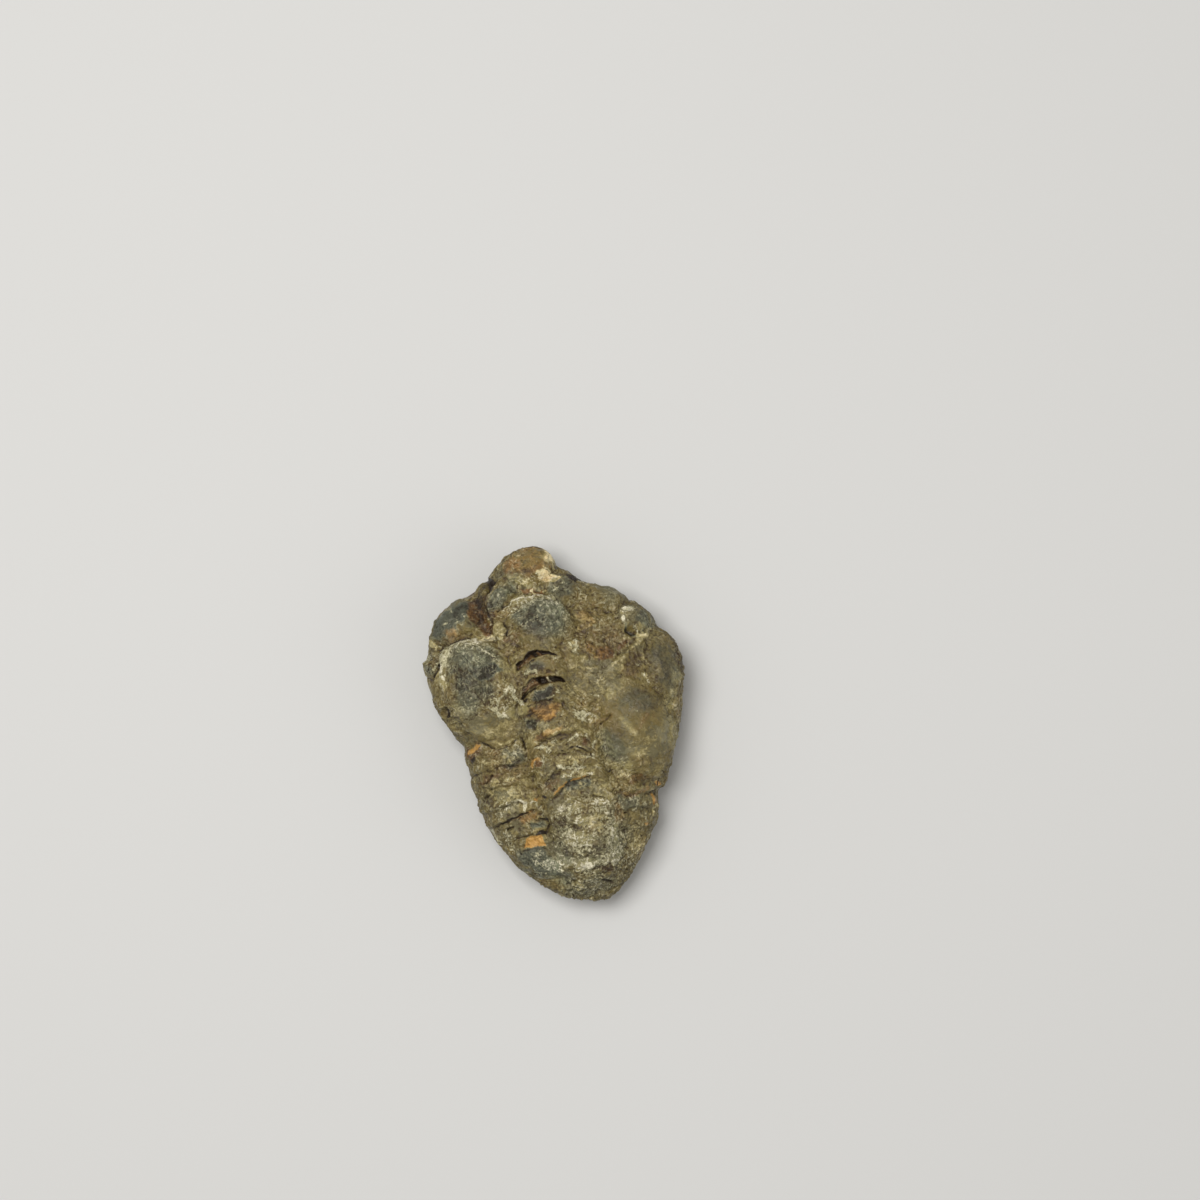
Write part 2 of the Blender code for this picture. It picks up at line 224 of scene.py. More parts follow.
# Edges of overlapping plates: the stone drops on the tail side of each path. Path, drop.
LEDGES = {
    "ring_3": ([(-5.2, 2.3), (-4.3, 3.6), (-3.2, 4.5), (-1.5, 4.7), (0.7, 3.6), (1.4, 2.0)], 0.8),
    "ring_4": ([(-5.3, -2.5), (-3.1, -1.7), (-1.1, -1.2), (2.0, -1.1), (4.6, -2.2)], 0.5),
    "ring_5": ([(-5.0, -5.4), (-2.6, -4.0), (0.6, -3.8), (3.8, -4.7), (5.2, -6.0)], 0.7),
    "ring_6": ([(-5.4, -8.6), (-2.9, -7.0), (0.0, -6.2), (3.1, -6.5), (5.6, -8.0)], 0.7),
    "ring_7": ([(-5.0, -11.6), (-3.2, -10.2), (-0.6, -8.5), (2.9, -8.1), (5.6, -9.8)], 0.8),
    "ring_8": ([(-3.8, -13.4), (-0.8, -11.4), (2.8, -11.2), (5.7, -12.4)], 0.4),
    "ring_9": ([(-4.4, -16.2), (-1.0, -15.0), (3.0, -15.0), (5.6, -15.8)], 0.5),
    "left_rib_1": ([(-16.2, -0.2), (-13.2, -0.5), (-11.2, -1.8), (-7.4, -0.4)], 0.9),
    "left_rib_2": ([(-16.6, -5.6), (-13.1, -4.8), (-10.6, -4.4), (-7.4, -4.6)], 0.7),
    "left_rib_3": ([(-15.8, -8.8), (-13.0, -7.6), (-10.1, -7.4), (-7.2, -8.4)], 0.6),
    "left_rib_4": ([(-15.4, -11.6), (-12.0, -11.0), (-9.0, -10.3), (-6.6, -11.0)], 0.8),
    "left_rib_5": ([(-14.6, -14.0), (-11.5, -13.0), (-8.6, -12.5), (-6.2, -11.6)], 0.9),
    "left_rib_6": ([(-13.4, -16.9), (-10.2, -15.9), (-6.4, -16.0)], 0.6),
    "right_plate": ([(15.2, 12.2), (13.2, 10.8), (11.4, 9.6), (9.6, 8.4), (8.0, 7.2)], 0.8),
    "shoulder_step": ([(9.0, 3.4), (8.8, 2.4), (9.0, 1.4)], 0.4),
}

# Thin open cracks: path, width, depth.
CRACKS = {
    "edge_of_right_knob": ([(2.0, 20.2), (3.0, 18.5)], 0.35, 0.4),
    "behind_snout_lobe": ([(-7.1, 19.5), (-5.1, 20.3)], 0.35, 0.4),
    "black_notch": ([(-8.2, 24.6), (-7.6, 23.6), (-8.2, 22.6)], 0.7, 0.8),
    "inside_rim_bead": ([(-17.6, 12.7), (-17.9, 11.9), (-18.6, 10.6)], 0.4, 0.6),
    "slit_by_axis": ([(-6.9, -0.7), (-6.7, -1.6), (-6.5, -2.6)], 0.35, 0.6),
    "rib_crack_1": ([(-13.8, -6.8), (-12.4, -5.9)], 0.35, 0.45),
    "rib_crack_2": ([(-14.5, -9.6), (-13.5, -8.8), (-13.0, -8.0)], 0.4, 0.5),
    "rib_crack_4": ([(-11.9, -14.6), (-10.9, -14.2)], 0.4, 0.5),
    "crack_above_chip": ([(-6.2, -13.8), (-5.3, -14.0), (-5.0, -14.9), (-5.5, -15.9)], 0.4, 0.6),
    "by_right_shoulder": ([(5.9, -1.0), (7.6, 0.3)], 0.4, 0.4),
    "right_hollow": ([(12.8, 13.3), (13.5, 12.3)], 0.6, 0.5),
    "tail_crack_1": ([(-3.6, -24.5), (-1.9, -25.4)], 0.35, 0.4),
    "tail_crack_2": ([(1.8, -24.2), (3.2, -25.4)], 0.45, 0.6),
}

# Thin raised edges where a flake of shell stands proud: path, width, height.
FLAKE_EDGES = {
    "front_of_glabella": (
        [(-6.1, 19.2), (-3.1, 21.0), (-1.1, 20.8), (1.9, 20.0), (2.9, 18.3)],
        0.7,
        0.35,
    ),
    "left_cheek_ridge": ([(-16.5, 14.3), (-16.9, 12.0), (-17.4, 10.0)], 0.7, 0.45),
    "cheek_arc": ([(-11.4, 14.6), (-10.2, 13.4), (-8.6, 12.2), (-7.4, 11.2)], 0.45, 0.25),
    "wedge_top": ([(-9.8, 5.3), (-9.0, 6.3), (-8.3, 6.7), (-7.3, 7.5)], 0.4, 0.15),
    "wedge_side": ([(-7.3, 7.5), (-7.1, 6.4), (-6.4, 5.5), (-5.8, 4.4)], 0.4, 0.25),
    "rib_arc": ([(-13.6, -8.5), (-12.6, -7.4), (-10.1, -7.3)], 0.45, 0.3),
    "rib_edge": ([(-13.1, -11.0), (-10.6, -10.8), (-9.1, -10.2), (-7.9, -10.5)], 0.5, 0.3),
    "right_ridge": (
        [(14.9, 12.0), (13.2, 10.9), (12.1, 10.1), (10.7, 9.1), (9.3, 8.2), (8.2, 7.5)],
        0.5,
        0.15,
    ),
    "right_cheek_ridge": ([(14.9, 11.4), (14.3, 8.2), (14.2, 5.0)], 0.6, 0.15),
    "axis_right_edge": ([(4.9, -3.0), (4.9, -5.4)], 0.5, 0.3),
    "orange_arc": ([(-3.4, -10.4), (-2.1, -9.4), (-1.1, -8.7), (1.2, -8.0), (2.9, -7.9)], 0.35, 0.25),
    "snout_streak": ([(-0.1, 23.8), (1.5, 23.3), (3.1, 22.8)], 0.8, 0.4),
    "tail_ring": ([(-3.2, -24.0), (-2.3, -23.2), (-1.4, -24.0), (-2.3, -24.8), (-3.2, -24.0)], 0.4, 0.3),
}

# Where the shell is worn smooth: ovals as below, with how smooth it is.
SMOOTH_AREAS = {
    "right_shoulder": (11.4, -1.8, 4.8, 7.2, 12, 1.0),
    "cheek_foot": (-11.2, 1.3, 3.6, 2.5, 0, 1.0),
    "beside_gaps": (4.4, 8.2, 2.8, 4.0, 10, 0.35),
    "glabella_foot": (-1.2, 14.2, 3.6, 1.6, 0, 0.8),
    "right_cheek_slope": (12.4, 6.8, 2.0, 2.6, 20, 0.6),
    "right_cheek": (17.2, 6.4, 1.8, 4.2, 0, 0.6),
    "right_front": (10.8, 18.8, 2.6, 1.2, -28, 0.8),
    "left_rib": (-10.8, -8.2, 2.0, 1.1, 10, 0.7),
    "left_front": (-13.8, 19.2, 3.2, 1.6, 38, 0.8),
    "plate_in_gaps": (-1.2, 10.0, 1.8, 0.8, 0, 0.8),
    "under_chip": (-8.2, -18.8, 2.2, 0.8, -10, 0.7),
    "snout": (0.2, 25.8, 3.2, 1.8, 0, 0.5),
}

# ---------------------------------------------------------------- stains and minerals in the shell
# Patches are ovals: centre x and y, half sizes, turn in degrees, strength. Streaks are paths
# with a width and a strength. A strength under 1 leaves the mineral broken into flecks.

# Where the shell is paler and where it is darker, in broad patches: partly wear from handling and dirt
# worked into the shell, partly painted light and painted shade over the broad forms.
WEAR_AND_PAINTED_LIGHT_AREAS = {
    "front_furrow": (-1.6, 22.0, 2.8, 0.8, 4, 1.0),
    "snout_streak": (1.5, 23.1, 1.7, 0.5, -18, 0.9),
    "snout_left": (-4.0, 23.1, 1.2, 0.8, 0, 0.6),
    "snout_crown": (1.6, 25.4, 1.1, 0.9, 0, 1.1),
    "over_left_cheek": (-10.6, 15.7, 2.2, 0.8, 0, 1.5),
    "left_cheek_top": (-12.8, 14.0, 1.8, 0.8, 0, 0.35),
    "left_cheek_side": (-10.9, 13.0, 1.3, 1.1, 0, 0.5),
    "left_rim": (-17.1, 10.4, 0.9, 1.5, 0, 1.15),
    "outside_left_cheek": (-14.7, 5.3, 1.6, 1.0, 0, 0.7),
    "beside_first_gap": (-7.1, 10.7, 1.2, 1.1, 0, 0.65),
    "beside_second_gap": (-7.9, 7.7, 1.0, 1.0, 0, 0.3),
    "left_furrow_top": (-6.8, 3.4, 2.2, 1.3, 0, 1.2),
    "cheek_foot": (-10.9, 0.5, 1.5, 0.9, 0, 0.45),
    "cheek_corner": (-13.1, 2.1, 1.6, 1.0, 0, 0.6),
    "front_of_left_cheek": (-11.8, 20.0, 1.3, 0.9, 40, 0.25),
    "left_of_glabella": (-5.5, 19.1, 1.2, 1.0, 0, 0.3),
    "glabella_front_left": (-3.3, 20.3, 1.8, 0.8, 14, 0.9),
    "glabella_front": (0.8, 19.7, 1.3, 0.8, 0, 0.5),
    "glabella_left": (-2.7, 18.9, 1.0, 0.7, 0, 0.5),
    "glabella_right": (2.2, 17.6, 1.7, 1.4, 0, 0.5),
    "right_eye": (12.9, 15.0, 1.1, 0.9, 0, 0.6),
    "right_edge_lobe": (15.2, 12.5, 0.9, 0.8, 0, 0.55),
    "right_of_gaps": (4.2, 10.2, 1.3, 1.0, 0, 0.32),
    "right_of_rings": (2.8, 5.4, 1.5, 1.2, 0, 0.3),
    "right_flank": (7.8, 4.8, 2.4, 1.4, 20, 0.52),
    "plate_edge": (10.1, 8.0, 1.8, 0.7, 34, 0.7),
    "right_cheek_lobe": (18.6, 4.9, 0.9, 1.4, 0, 0.7),
    "right_cheek_ridge": (13.8, 4.6, 1.0, 1.0, 0, 0.36),
    "beside_ring_4": (4.8, 1.0, 1.5, 1.0, 0, 0.52),
    "ring_4_top": (1.4, -0.1, 0.9, 0.7, 0, 0.4),
    "front_furrow_speck": (-0.8, 21.5, 0.7, 0.4, 0, 0.8),
    "ring_3_foot": (-2.8, 0.8, 1.0, 0.6, 0, 0.75),
    "ring_4_right": (3.2, -1.4, 1.3, 0.7, 0, 0.66),
    "ring_4_left": (-4.3, -0.4, 0.9, 0.6, 0, 0.4),
    "shoulder_light": (10.2, -1.2, 1.5, 0.9, -30, 0.6),
    "shoulder_low": (10.3, -5.7, 1.8, 1.0, 0, 0.5),
    "axis_right_edge": (6.0, -3.4, 1.2, 1.3, 0, 0.45),
    "groove_top": (6.3, -6.2, 1.2, 1.0, 0, 0.42),
    "right_groove": (7.9, -8.2, 1.5, 1.0, -20, 0.6),
    "right_side": (16.0, -3.6, 1.8, 2.8, 14, 0.65),
    "right_side_top": (17.7, 1.0, 1.3, 1.8, 0, 0.6),
    "right_rib_1": (12.8, -9.3, 1.1, 0.8, 0, 0.3),
    "right_rib_2": (10.7, -12.6, 1.5, 0.8, 0, 1.0),
    "ring_5_left": (-5.4, -1.9, 1.1, 0.9, 0, 0.75),
    "ring_6_left": (-3.9, -4.7, 1.1, 0.8, 0, 0.4),
    "ring_7_right": (2.9, -7.1, 1.5, 0.8, 0, 0.85),
    "under_orange_arc": (-0.9, -8.5, 1.0, 0.5, 0, 0.4),
    "left_rib_1": (-9.4, -2.1, 1.2, 0.7, 0, 0.32),
    "left_rib_3": (-7.2, -7.5, 1.8, 0.9, 0, 0.36),
    "left_rib_4": (-9.0, -11.2, 2.3, 0.9, 0, 0.7),
    "beside_left_rib_4": (-6.4, -10.3, 0.9, 0.8, 0, 0.75),
    "over_chip": (-6.7, -15.3, 1.0, 0.6, 0, 0.36),
    "ring_8": (-1.6, -12.2, 2.2, 0.9, 0, 0.75),
    "tail_top": (4.6, -10.3, 2.4, 0.9, -10, 0.55),
    "tail_side": (6.0, -11.5, 1.1, 1.0, 0, 0.36),
    "tail_right_top": (4.4, -12.0, 1.7, 1.1, 0, 0.8),
    "tail_crown": (1.3, -14.4, 1.3, 1.0, 0, 1.5),
    "tail_middle": (-0.8, -17.2, 2.0, 1.2, 0, 0.8),
    "tail_right": (5.0, -17.5, 1.0, 1.6, 0, 0.6),
    "tail_right_low": (4.2, -19.6, 1.3, 0.9, 0, 0.5),
    "tail_left_top": (-4.3, -19.9, 0.9, 0.8, 0, 0.6),
    "beside_chip": (-6.1, -17.3, 0.9, 0.9, 0, 0.5),
    "tail_lobe": (-5.6, -20.9, 1.8, 1.0, -24, 0.9),
    "tail_foot_left": (-5.1, -23.5, 1.5, 0.9, -30, 0.6),
    "tail_low": (-0.2, -21.1, 1.7, 1.0, 0, 1.3),
    "tail_low_right": (3.2, -20.6, 1.4, 0.8, 0, 0.9),
    "tail_low_left": (-2.9, -20.7, 1.2, 0.9, 0, 1.2),
    "left_edge": (-11.6, -15.7, 1.0, 1.2, 0, 0.2),
}
# Darker patches: partly dirt, partly painted shade. The right_rim patch is painted shadow along the
# right edge of the stone.
DIRT_AND_PAINTED_SHADE_AREAS = {
    "middle_of_snout": (-0.8, 24.6, 1.3, 0.6, 0, 0.4),
    "left_of_snout_lobe": (-8.2, 19.9, 0.9, 2.0, 8, 0.85),
    "furrow_left_of_snout": (-10.0, 19.6, 0.9, 1.6, 8, 0.3),
    "right_knob": (4.8, 20.6, 1.6, 1.2, 0, 0.3),
    "glabella_foot": (-2.4, 16.1, 1.8, 1.5, 0, 0.6),
    "under_glabella": (-0.9, 14.0, 1.5, 0.8, 0, 0.4),
    "rim_bead": (-18.7, 12.6, 1.0, 1.5, 0, 0.4),
    "plate_between_gaps": (-3.2, 9.2, 1.6, 0.8, 18, 0.8),
    "left_of_gaps": (-5.6, 8.1, 0.9, 0.9, 0, 0.3),
    "left_of_second_gap": (-5.6, 6.3, 0.9, 0.9, 0, 0.55),
    "under_second_gap": (-2.2, 5.0, 1.9, 0.9, 8, 0.65),
    "ring_3": (-1.8, 2.4, 1.5, 1.1, 0, 0.5),
    "left_of_ring_3": (-4.1, 1.9, 1.0, 1.0, 0, 0.42),
    "ring_4": (-3.5, -1.4, 1.2, 0.5, 15, 0.8),
    "ring_6": (0.0, -5.5, 1.3, 0.6, 0, 0.36),
    "left_cheek": (-13.8, 9.2, 1.8, 1.6, 0, 0.45),
    "left_cheek_low": (-11.0, 7.0, 1.5, 1.3, 0, 0.36),
    "left_cheek_foot": (-10.3, 4.9, 1.5, 1.0, 0, 0.4),
    "basin_top": (6.3, 14.6, 1.4, 1.1, 0, 0.6),
    "basin_left": (6.3, 11.0, 1.3, 1.0, 0, 0.36),
    "above_gaps": (2.4, 11.6, 1.2, 1.1, 0, 0.26),
    "right_slope": (12.6, 7.6, 1.7, 1.8, 0, 0.5),
    "right_cheek": (16.2, 6.4, 1.2, 3.8, 4, 0.3),
    "right_rim": (19.4, 8.0, 0.9, 2.6, 4, 0.5),
    "shoulder_top": (12.6, 2.0, 2.8, 1.5, -10, 0.36),
    "shoulder_inside": (8.4, -2.2, 1.2, 1.7, -20, 0.3),
    "shoulder_foot": (11.5, -7.2, 1.4, 0.9, 0, 0.3),
    "left_rib_2": (-9.7, -4.1, 1.6, 0.8, 0, 0.7),
    "left_rib_3": (-11.9, -6.8, 1.4, 0.7, 0, 0.22),
    "left_rib_4": (-12.8, -9.8, 2.2, 0.7, 0, 0.42),
    "tail_left": (-3.0, -14.6, 1.5, 1.0, 0, 0.62),
    "tail_right_middle": (3.8, -16.1, 0.8, 0.8, 0, 0.5),
    "tail_middle_low": (1.8, -19.4, 1.4, 0.9, 0, 0.4),
    "tail_inner_left": (-2.6, -18.9, 0.9, 0.8, 0, 0.75),
    "tail_crown_foot": (-0.6, -15.6, 0.9, 0.8, 0, 0.4),
    "tail_crown_right": (2.1, -16.6, 0.9, 0.8, 0, 0.4),
    "under_tail_spot": (2.4, -22.3, 1.5, 0.7, 0, 0.6),
}

SLATE_PATCHES = {
    "left_cheek": (-11.8, 12.2, 4.2, 2.8, -14, 0.74),
    "left_cheek_low": (-12.6, 8.0, 3.4, 3.0, 0, 0.66),
    "left_cheek_dark": (-10.2, 10.5, 2.0, 1.0, -4, 2.0),
    "left_cheek_dark_top": (-12.6, 12.6, 1.5, 0.8, 20, 0.9),
    "glabella": (0.0, 17.2, 3.6, 3.4, 0, 0.76),
    "plate_between_gaps": (-2.8, 9.7, 1.8, 0.9, 18, 0.6),
    "under_second_gap": (-2.4, 5.5, 1.9, 0.7, 12, 1.1),
    "glabella_left": (-3.0, 17.8, 2.3, 1.4, 10, 0.75),
    "left_front_cheek": (-14.4, 18.8, 3.4, 1.6, 38, 1.2),
    "left_front_cheek_top": (-12.4, 20.2, 2.2, 1.0, 40, 1.8),
    "right_knob": (3.5, 21.2, 2.2, 1.8, 0, 0.66),
    "beside_snout": (-6.4, 21.4, 2.6, 1.0, 40, 0.7),
    "tail_left": (-7.4, -20.4, 4.0, 1.7, -36, 0.95),
    "tail_left_low": (-4.6, -23.0, 3.0, 1.4, -30, 0.6),
    "tail_right_wide": (4.6, -17.6, 2.8, 5.0, 0, 0.45),
    "tail_middle": (0.6, -19.6, 2.6, 3.6, 0, 0.45),
    "behind_orange_arc": (0.4, -9.4, 2.6, 0.8, 8, 0.95),
    "by_slit": (-8.4, -3.4, 1.8, 1.5, 0, 0.66),
    "beside_ring": (-4.7, 1.1, 1.1, 0.8, 30, 0.8),
    "right_cheek": (17.3, 6.6, 1.9, 4.2, 4, 0.5),
    "right_shoulder_top": (11.8, 1.7, 3.0, 1.8, -12, 0.5),
    "right_shoulder_inner": (7.2, -4.4, 1.9, 3.0, 10, 0.55),
    "under_chip": (-8.4, -18.6, 2.0, 0.7, -10, 0.9),
    "right_tail": (8.2, -13.6, 2.4, 1.2, 0, 0.6),
    "right_tail_low": (6.8, -21.4, 2.4, 2.2, 20, 0.2),
    "right_front": (10.8, 18.8, 2.6, 1.1, -28, 0.42),
    "right_eye_wedge": (13.2, 13.0, 1.1, 0.5, -55, 1.2),
    "right_edge_lobe": (15.6, 14.0, 1.0, 1.8, 25, 0.7),
    "above_chip": (-6.6, -14.6, 1.6, 0.6, -10, 0.8),
    "tail_foot": (0.2, -25.4, 4.4, 2.2, 0, 0.5),
    "rib_1": (-10.6, -9.2, 1.8, 1.0, 0, 0.6),
    "rim_bead": (-18.7, 12.0, 0.9, 1.2, 0, 0.7),
    "tail_crown": (-0.6, -15.2, 4.2, 3.6, 0, 0.3),
    "tail_left_inner": (-3.6, -19.0, 1.8, 2.6, 0, 0.5),
}

FROST_PATCHES = {
    "cheek_top": (-13.8, 15.0, 3.6, 0.9, 4, 0.85),
    "cheek_front": (-16.6, 12.8, 0.9, 2.2, 6, 0.9),
    "cheek_low": (-9.4, 5.4, 2.2, 1.8, 20, 0.3),
    "cheek_speckle": (-12.4, 9.4, 4.6, 5.2, 0, 0.1),
    "rim_bead": (-18.9, 12.6, 0.8, 1.6, 0, 0.2),
    "glabella_front": (-2.6, 19.6, 3.4, 0.9, 14, 0.85),
    "glabella_front_right": (1.0, 19.3, 1.8, 0.9, -14, 0.8),
    "glabella_speckle": (-0.6, 16.8, 4.2, 3.6, 0, 0.16),
    "right_eye_spot": (13.1, 15.6, 0.7, 0.5, 0, 1.8),
    "right_eye_spot_2": (12.5, 14.4, 0.5, 0.4, 0, 1.5),
    "ring_right": (3.2, 0.9, 1.2, 0.6, -20, 0.6),
    "rib_4_left": (-10.6, -10.7, 2.0, 0.6, 0, 0.75),
    "rib_5_left": (-12.2, -11.8, 1.1, 0.7, 0, 0.6),
    "tail_1": (-2.2, -13.4, 2.0, 1.1, 0, 0.75),
    "tail_2": (3.6, -12.8, 1.4, 1.1, 0, 0.75),
    "tail_3": (-2.0, -16.4, 1.5, 0.9, 0, 0.95),
    "tail_4": (-1.4, -18.4, 1.6, 1.2, 0, 0.95),
    "tail_5": (0.2, -21.7, 1.6, 1.0, 0, 1.15),
    "tail_6": (3.0, -20.7, 0.9, 0.7, 0, 0.6),
    "tail_all": (1.4, -17.4, 5.4, 6.0, 0, 0.42),
    "tail_left": (-6.9, -20.4, 2.0, 0.8, -36, 0.85),
    "tail_left_2": (-4.0, -21.4, 1.4, 0.9, -20, 0.75),
    "tail_right": (4.2, -17.6, 0.9, 1.2, 0, 0.9),
    "left_edge": (-11.8, -16.4, 1.0, 1.4, 0, 0.7),
    "left_edge_2": (-11.2, -18.0, 0.9, 0.5, 0, 0.65),
    "bottom_edge": (5.6, -22.6, 1.6, 2.6, 30, 0.52),
    "tail_foot": (0.4, -25.6, 4.6, 2.0, 0, 0.4),
    "right_front": (10.0, 18.2, 2.4, 0.9, -20, 0.3),
}

# Single grains and tight clusters of spar, and three painted highlights where the stone glints: the two
# dots on the knob at the right of the snout and the small dot on the right shoulder. Each is x, y,
# radius.
SPAR_DOTS_AND_GLINTS = [
    (-1.8, -2.1, 0.45), (3.3, -2.1, 0.39), (-3.8, -2.7, 0.45), (-2.8, -3.4, 0.45),
    (1.95, -3.65, 0.26), (-0.8, -4.6, 0.26), (2.2, -5.7, 0.26), (1.0, -5.7, 0.26),
    (4.1, -5.2, 0.45), (-0.2, -7.8, 0.39), (-1.3, -7.9, 0.39), (3.0, -7.8, 0.39), (4.5, -7.4, 0.39),
    (2.4, 1.5, 0.59), (3.2, 0.8, 0.59), (-1.5, 4.9, 0.39), (-1.0, 4.95, 0.33), (0.0, 5.5, 0.39),
    (3.3, 12.4, 0.39), (4.1, 11.6, 0.33), (4.4, 12.8, 0.39), (0.5, 10.1, 0.29), (-7.9, -2.0, 0.45),
    (-8.3, -2.9, 0.45), (-10.0, 4.6, 0.45), (-9.2, 3.2, 0.52), (-8.7, 3.6, 0.39),
    (-10.3, 5.6, 0.39), (-8.1, 4.3, 0.39), (11.4, 0.5, 0.21), (-1.3, -12.8, 0.59),
    (-2.6, -12.6, 0.65), (-1.6, -13.9, 0.65), (0.2, -13.2, 0.45), (-3.3, -13.6, 0.52),
    (-2.2, -16.4, 0.65), (-1.2, -16.9, 0.45), (-3.4, -16.6, 0.39), (-1.6, -18.4, 0.65),
    (-0.8, -19.2, 0.52), (-2.4, -18.0, 0.52), (4.5, -17.2, 0.52), (3.4, -18.2, 0.45),
    (3.1, -12.3, 0.65), (4.4, -12.7, 0.65), (3.9, -13.6, 0.45), (-0.3, -22.0, 1),
    (-1.0, -21.4, 0.52), (5.3, -20.4, 0.39), (2.4, -21.6, 0.39), (3.6, 21.9, 0.33),
    (2.7, 21.4, 0.39), (-7.9, 19.9, 0.33), (-13.4, 18.4, 0.33), (-15.2, 18.2, 0.29),
    (-14.0, 20.0, 0.26), (-12.6, 18.0, 0.33), (-12.2, 19.2, 0.26), (8.6, -13.1, 0.33),
    (9.6, -13.8, 0.39), (8.9, -15.0, 0.39), (10.7, -14.4, 0.33), (13.4, 7.3, 0.33),
    (14.1, 5.6, 0.39), (14.6, 4.4, 0.33), (-8.8, 15.4, 0.4), (-8.2, 15.1, 0.35), (-7.5, 15.0, 0.3),
    (-9.6, 15.6, 0.3), (-11.4, 15.0, 0.35), (-7.3, 7.5, 0.35), (-7.0, 6.6, 0.3), (-6.6, 5.6, 0.3),
    (-5.8, 4.5, 0.4), (-8.1, 6.9, 0.3), (-9.3, 5.7, 0.3),
]

RUST_PATCHES = {
    "snout_left": (-3.8, 25.2, 1.6, 1.2, 30, 0.6),
    "snout_top": (-0.6, 27.2, 2.6, 0.6, 0, 0.6),
    "furrow_left_of_snout": (-10.2, 19.9, 1.3, 3.2, 8, 1.15),
    "furrow_foot": (-9.3, 17.2, 1.3, 1.0, 0, 0.9),
    "front_furrow": (-1.0, 21.6, 2.6, 0.5, -3, 1.1),
    "basin": (9.0, 12.2, 2.6, 2.2, 0, 0.42),
    "basin_foot": (8.5, 10.3, 1.3, 1.1, -10, 1.1),
    "basin_right": (11.6, 10.8, 1.3, 0.6, 30, 0.7),
    "rib_5": (-8.6, -13.2, 2.2, 0.6, 8, 0.5),
    "rib_3": (-13.0, -6.2, 2.4, 0.7, 10, 0.66),
    "left_notch": (-15.0, -2.0, 1.4, 0.9, 30, 0.72),
    "right_ribs": (9.9, -10.0, 2.4, 0.7, -14, 0.55),
    "right_ribs_2": (10.2, -12.4, 2.2, 0.6, 0, 0.6),
    "right_low": (6.2, -14.8, 1.6, 1.4, 0, 0.3),
    "glabella_foot": (-5.6, 14.6, 1.6, 1.2, 0, 0.5),
    "above_cheek": (-14.6, 16.2, 2.8, 0.5, 6, 0.45),
    "ring_3": (-3.0, 3.4, 1.8, 0.7, 24, 0.66),
    "ring_7": (-3.2, -8.4, 1.4, 0.9, 30, 0.55),
    "ring_spot": (-5.2, -5.1, 0.45, 0.45, 0, 1.2),
    "ring_5": (3.1, -3.1, 0.8, 0.6, 40, 0.8),
    "snout_foot": (-1.8, 24.0, 2.6, 0.6, 6, 0.5),
}

OCHRE_PATCHES = {
    "ring_3": (-1.7, 2.0, 1.3, 0.7, 8, 0.75),
    "ring_3_wash": (-2.0, 2.7, 2.0, 1.3, 12, 0.52),
    "right_notch": (12.9, -11.3, 0.55, 0.5, 0, 0.9),
    "right_edge": (12.3, -14.2, 0.3, 0.7, 0, 0.8),
    "right_edge_2": (11.0, -17.4, 0.5, 0.35, 0, 0.7),
    "rib_5": (-8.2, -13.2, 1.9, 0.5, 8, 0.34),
    "tan_band": (-2.6, -0.8, 2.9, 0.55, 16, 0.42),
    "snout_right": (1.4, 25.4, 1.4, 1.8, -20, 0.25),
    "snout_wash": (-1.2, 25.4, 3.6, 2.0, 0, 0.3),
    "right_low": (6.0, -15.0, 1.2, 1.8, 0, 0.28),
    "basin_wash": (7.6, 10.6, 1.6, 1.3, -10, 0.3),
    "front_cheek_speck": (-14.9, 16.8, 1.1, 0.6, 20, 0.4),
    "snout_streak": (1.5, 23.0, 1.6, 0.5, -18, 0.4),
    "basin_top": (6.3, 16.0, 1.3, 1.6, 0, 0.34),
}

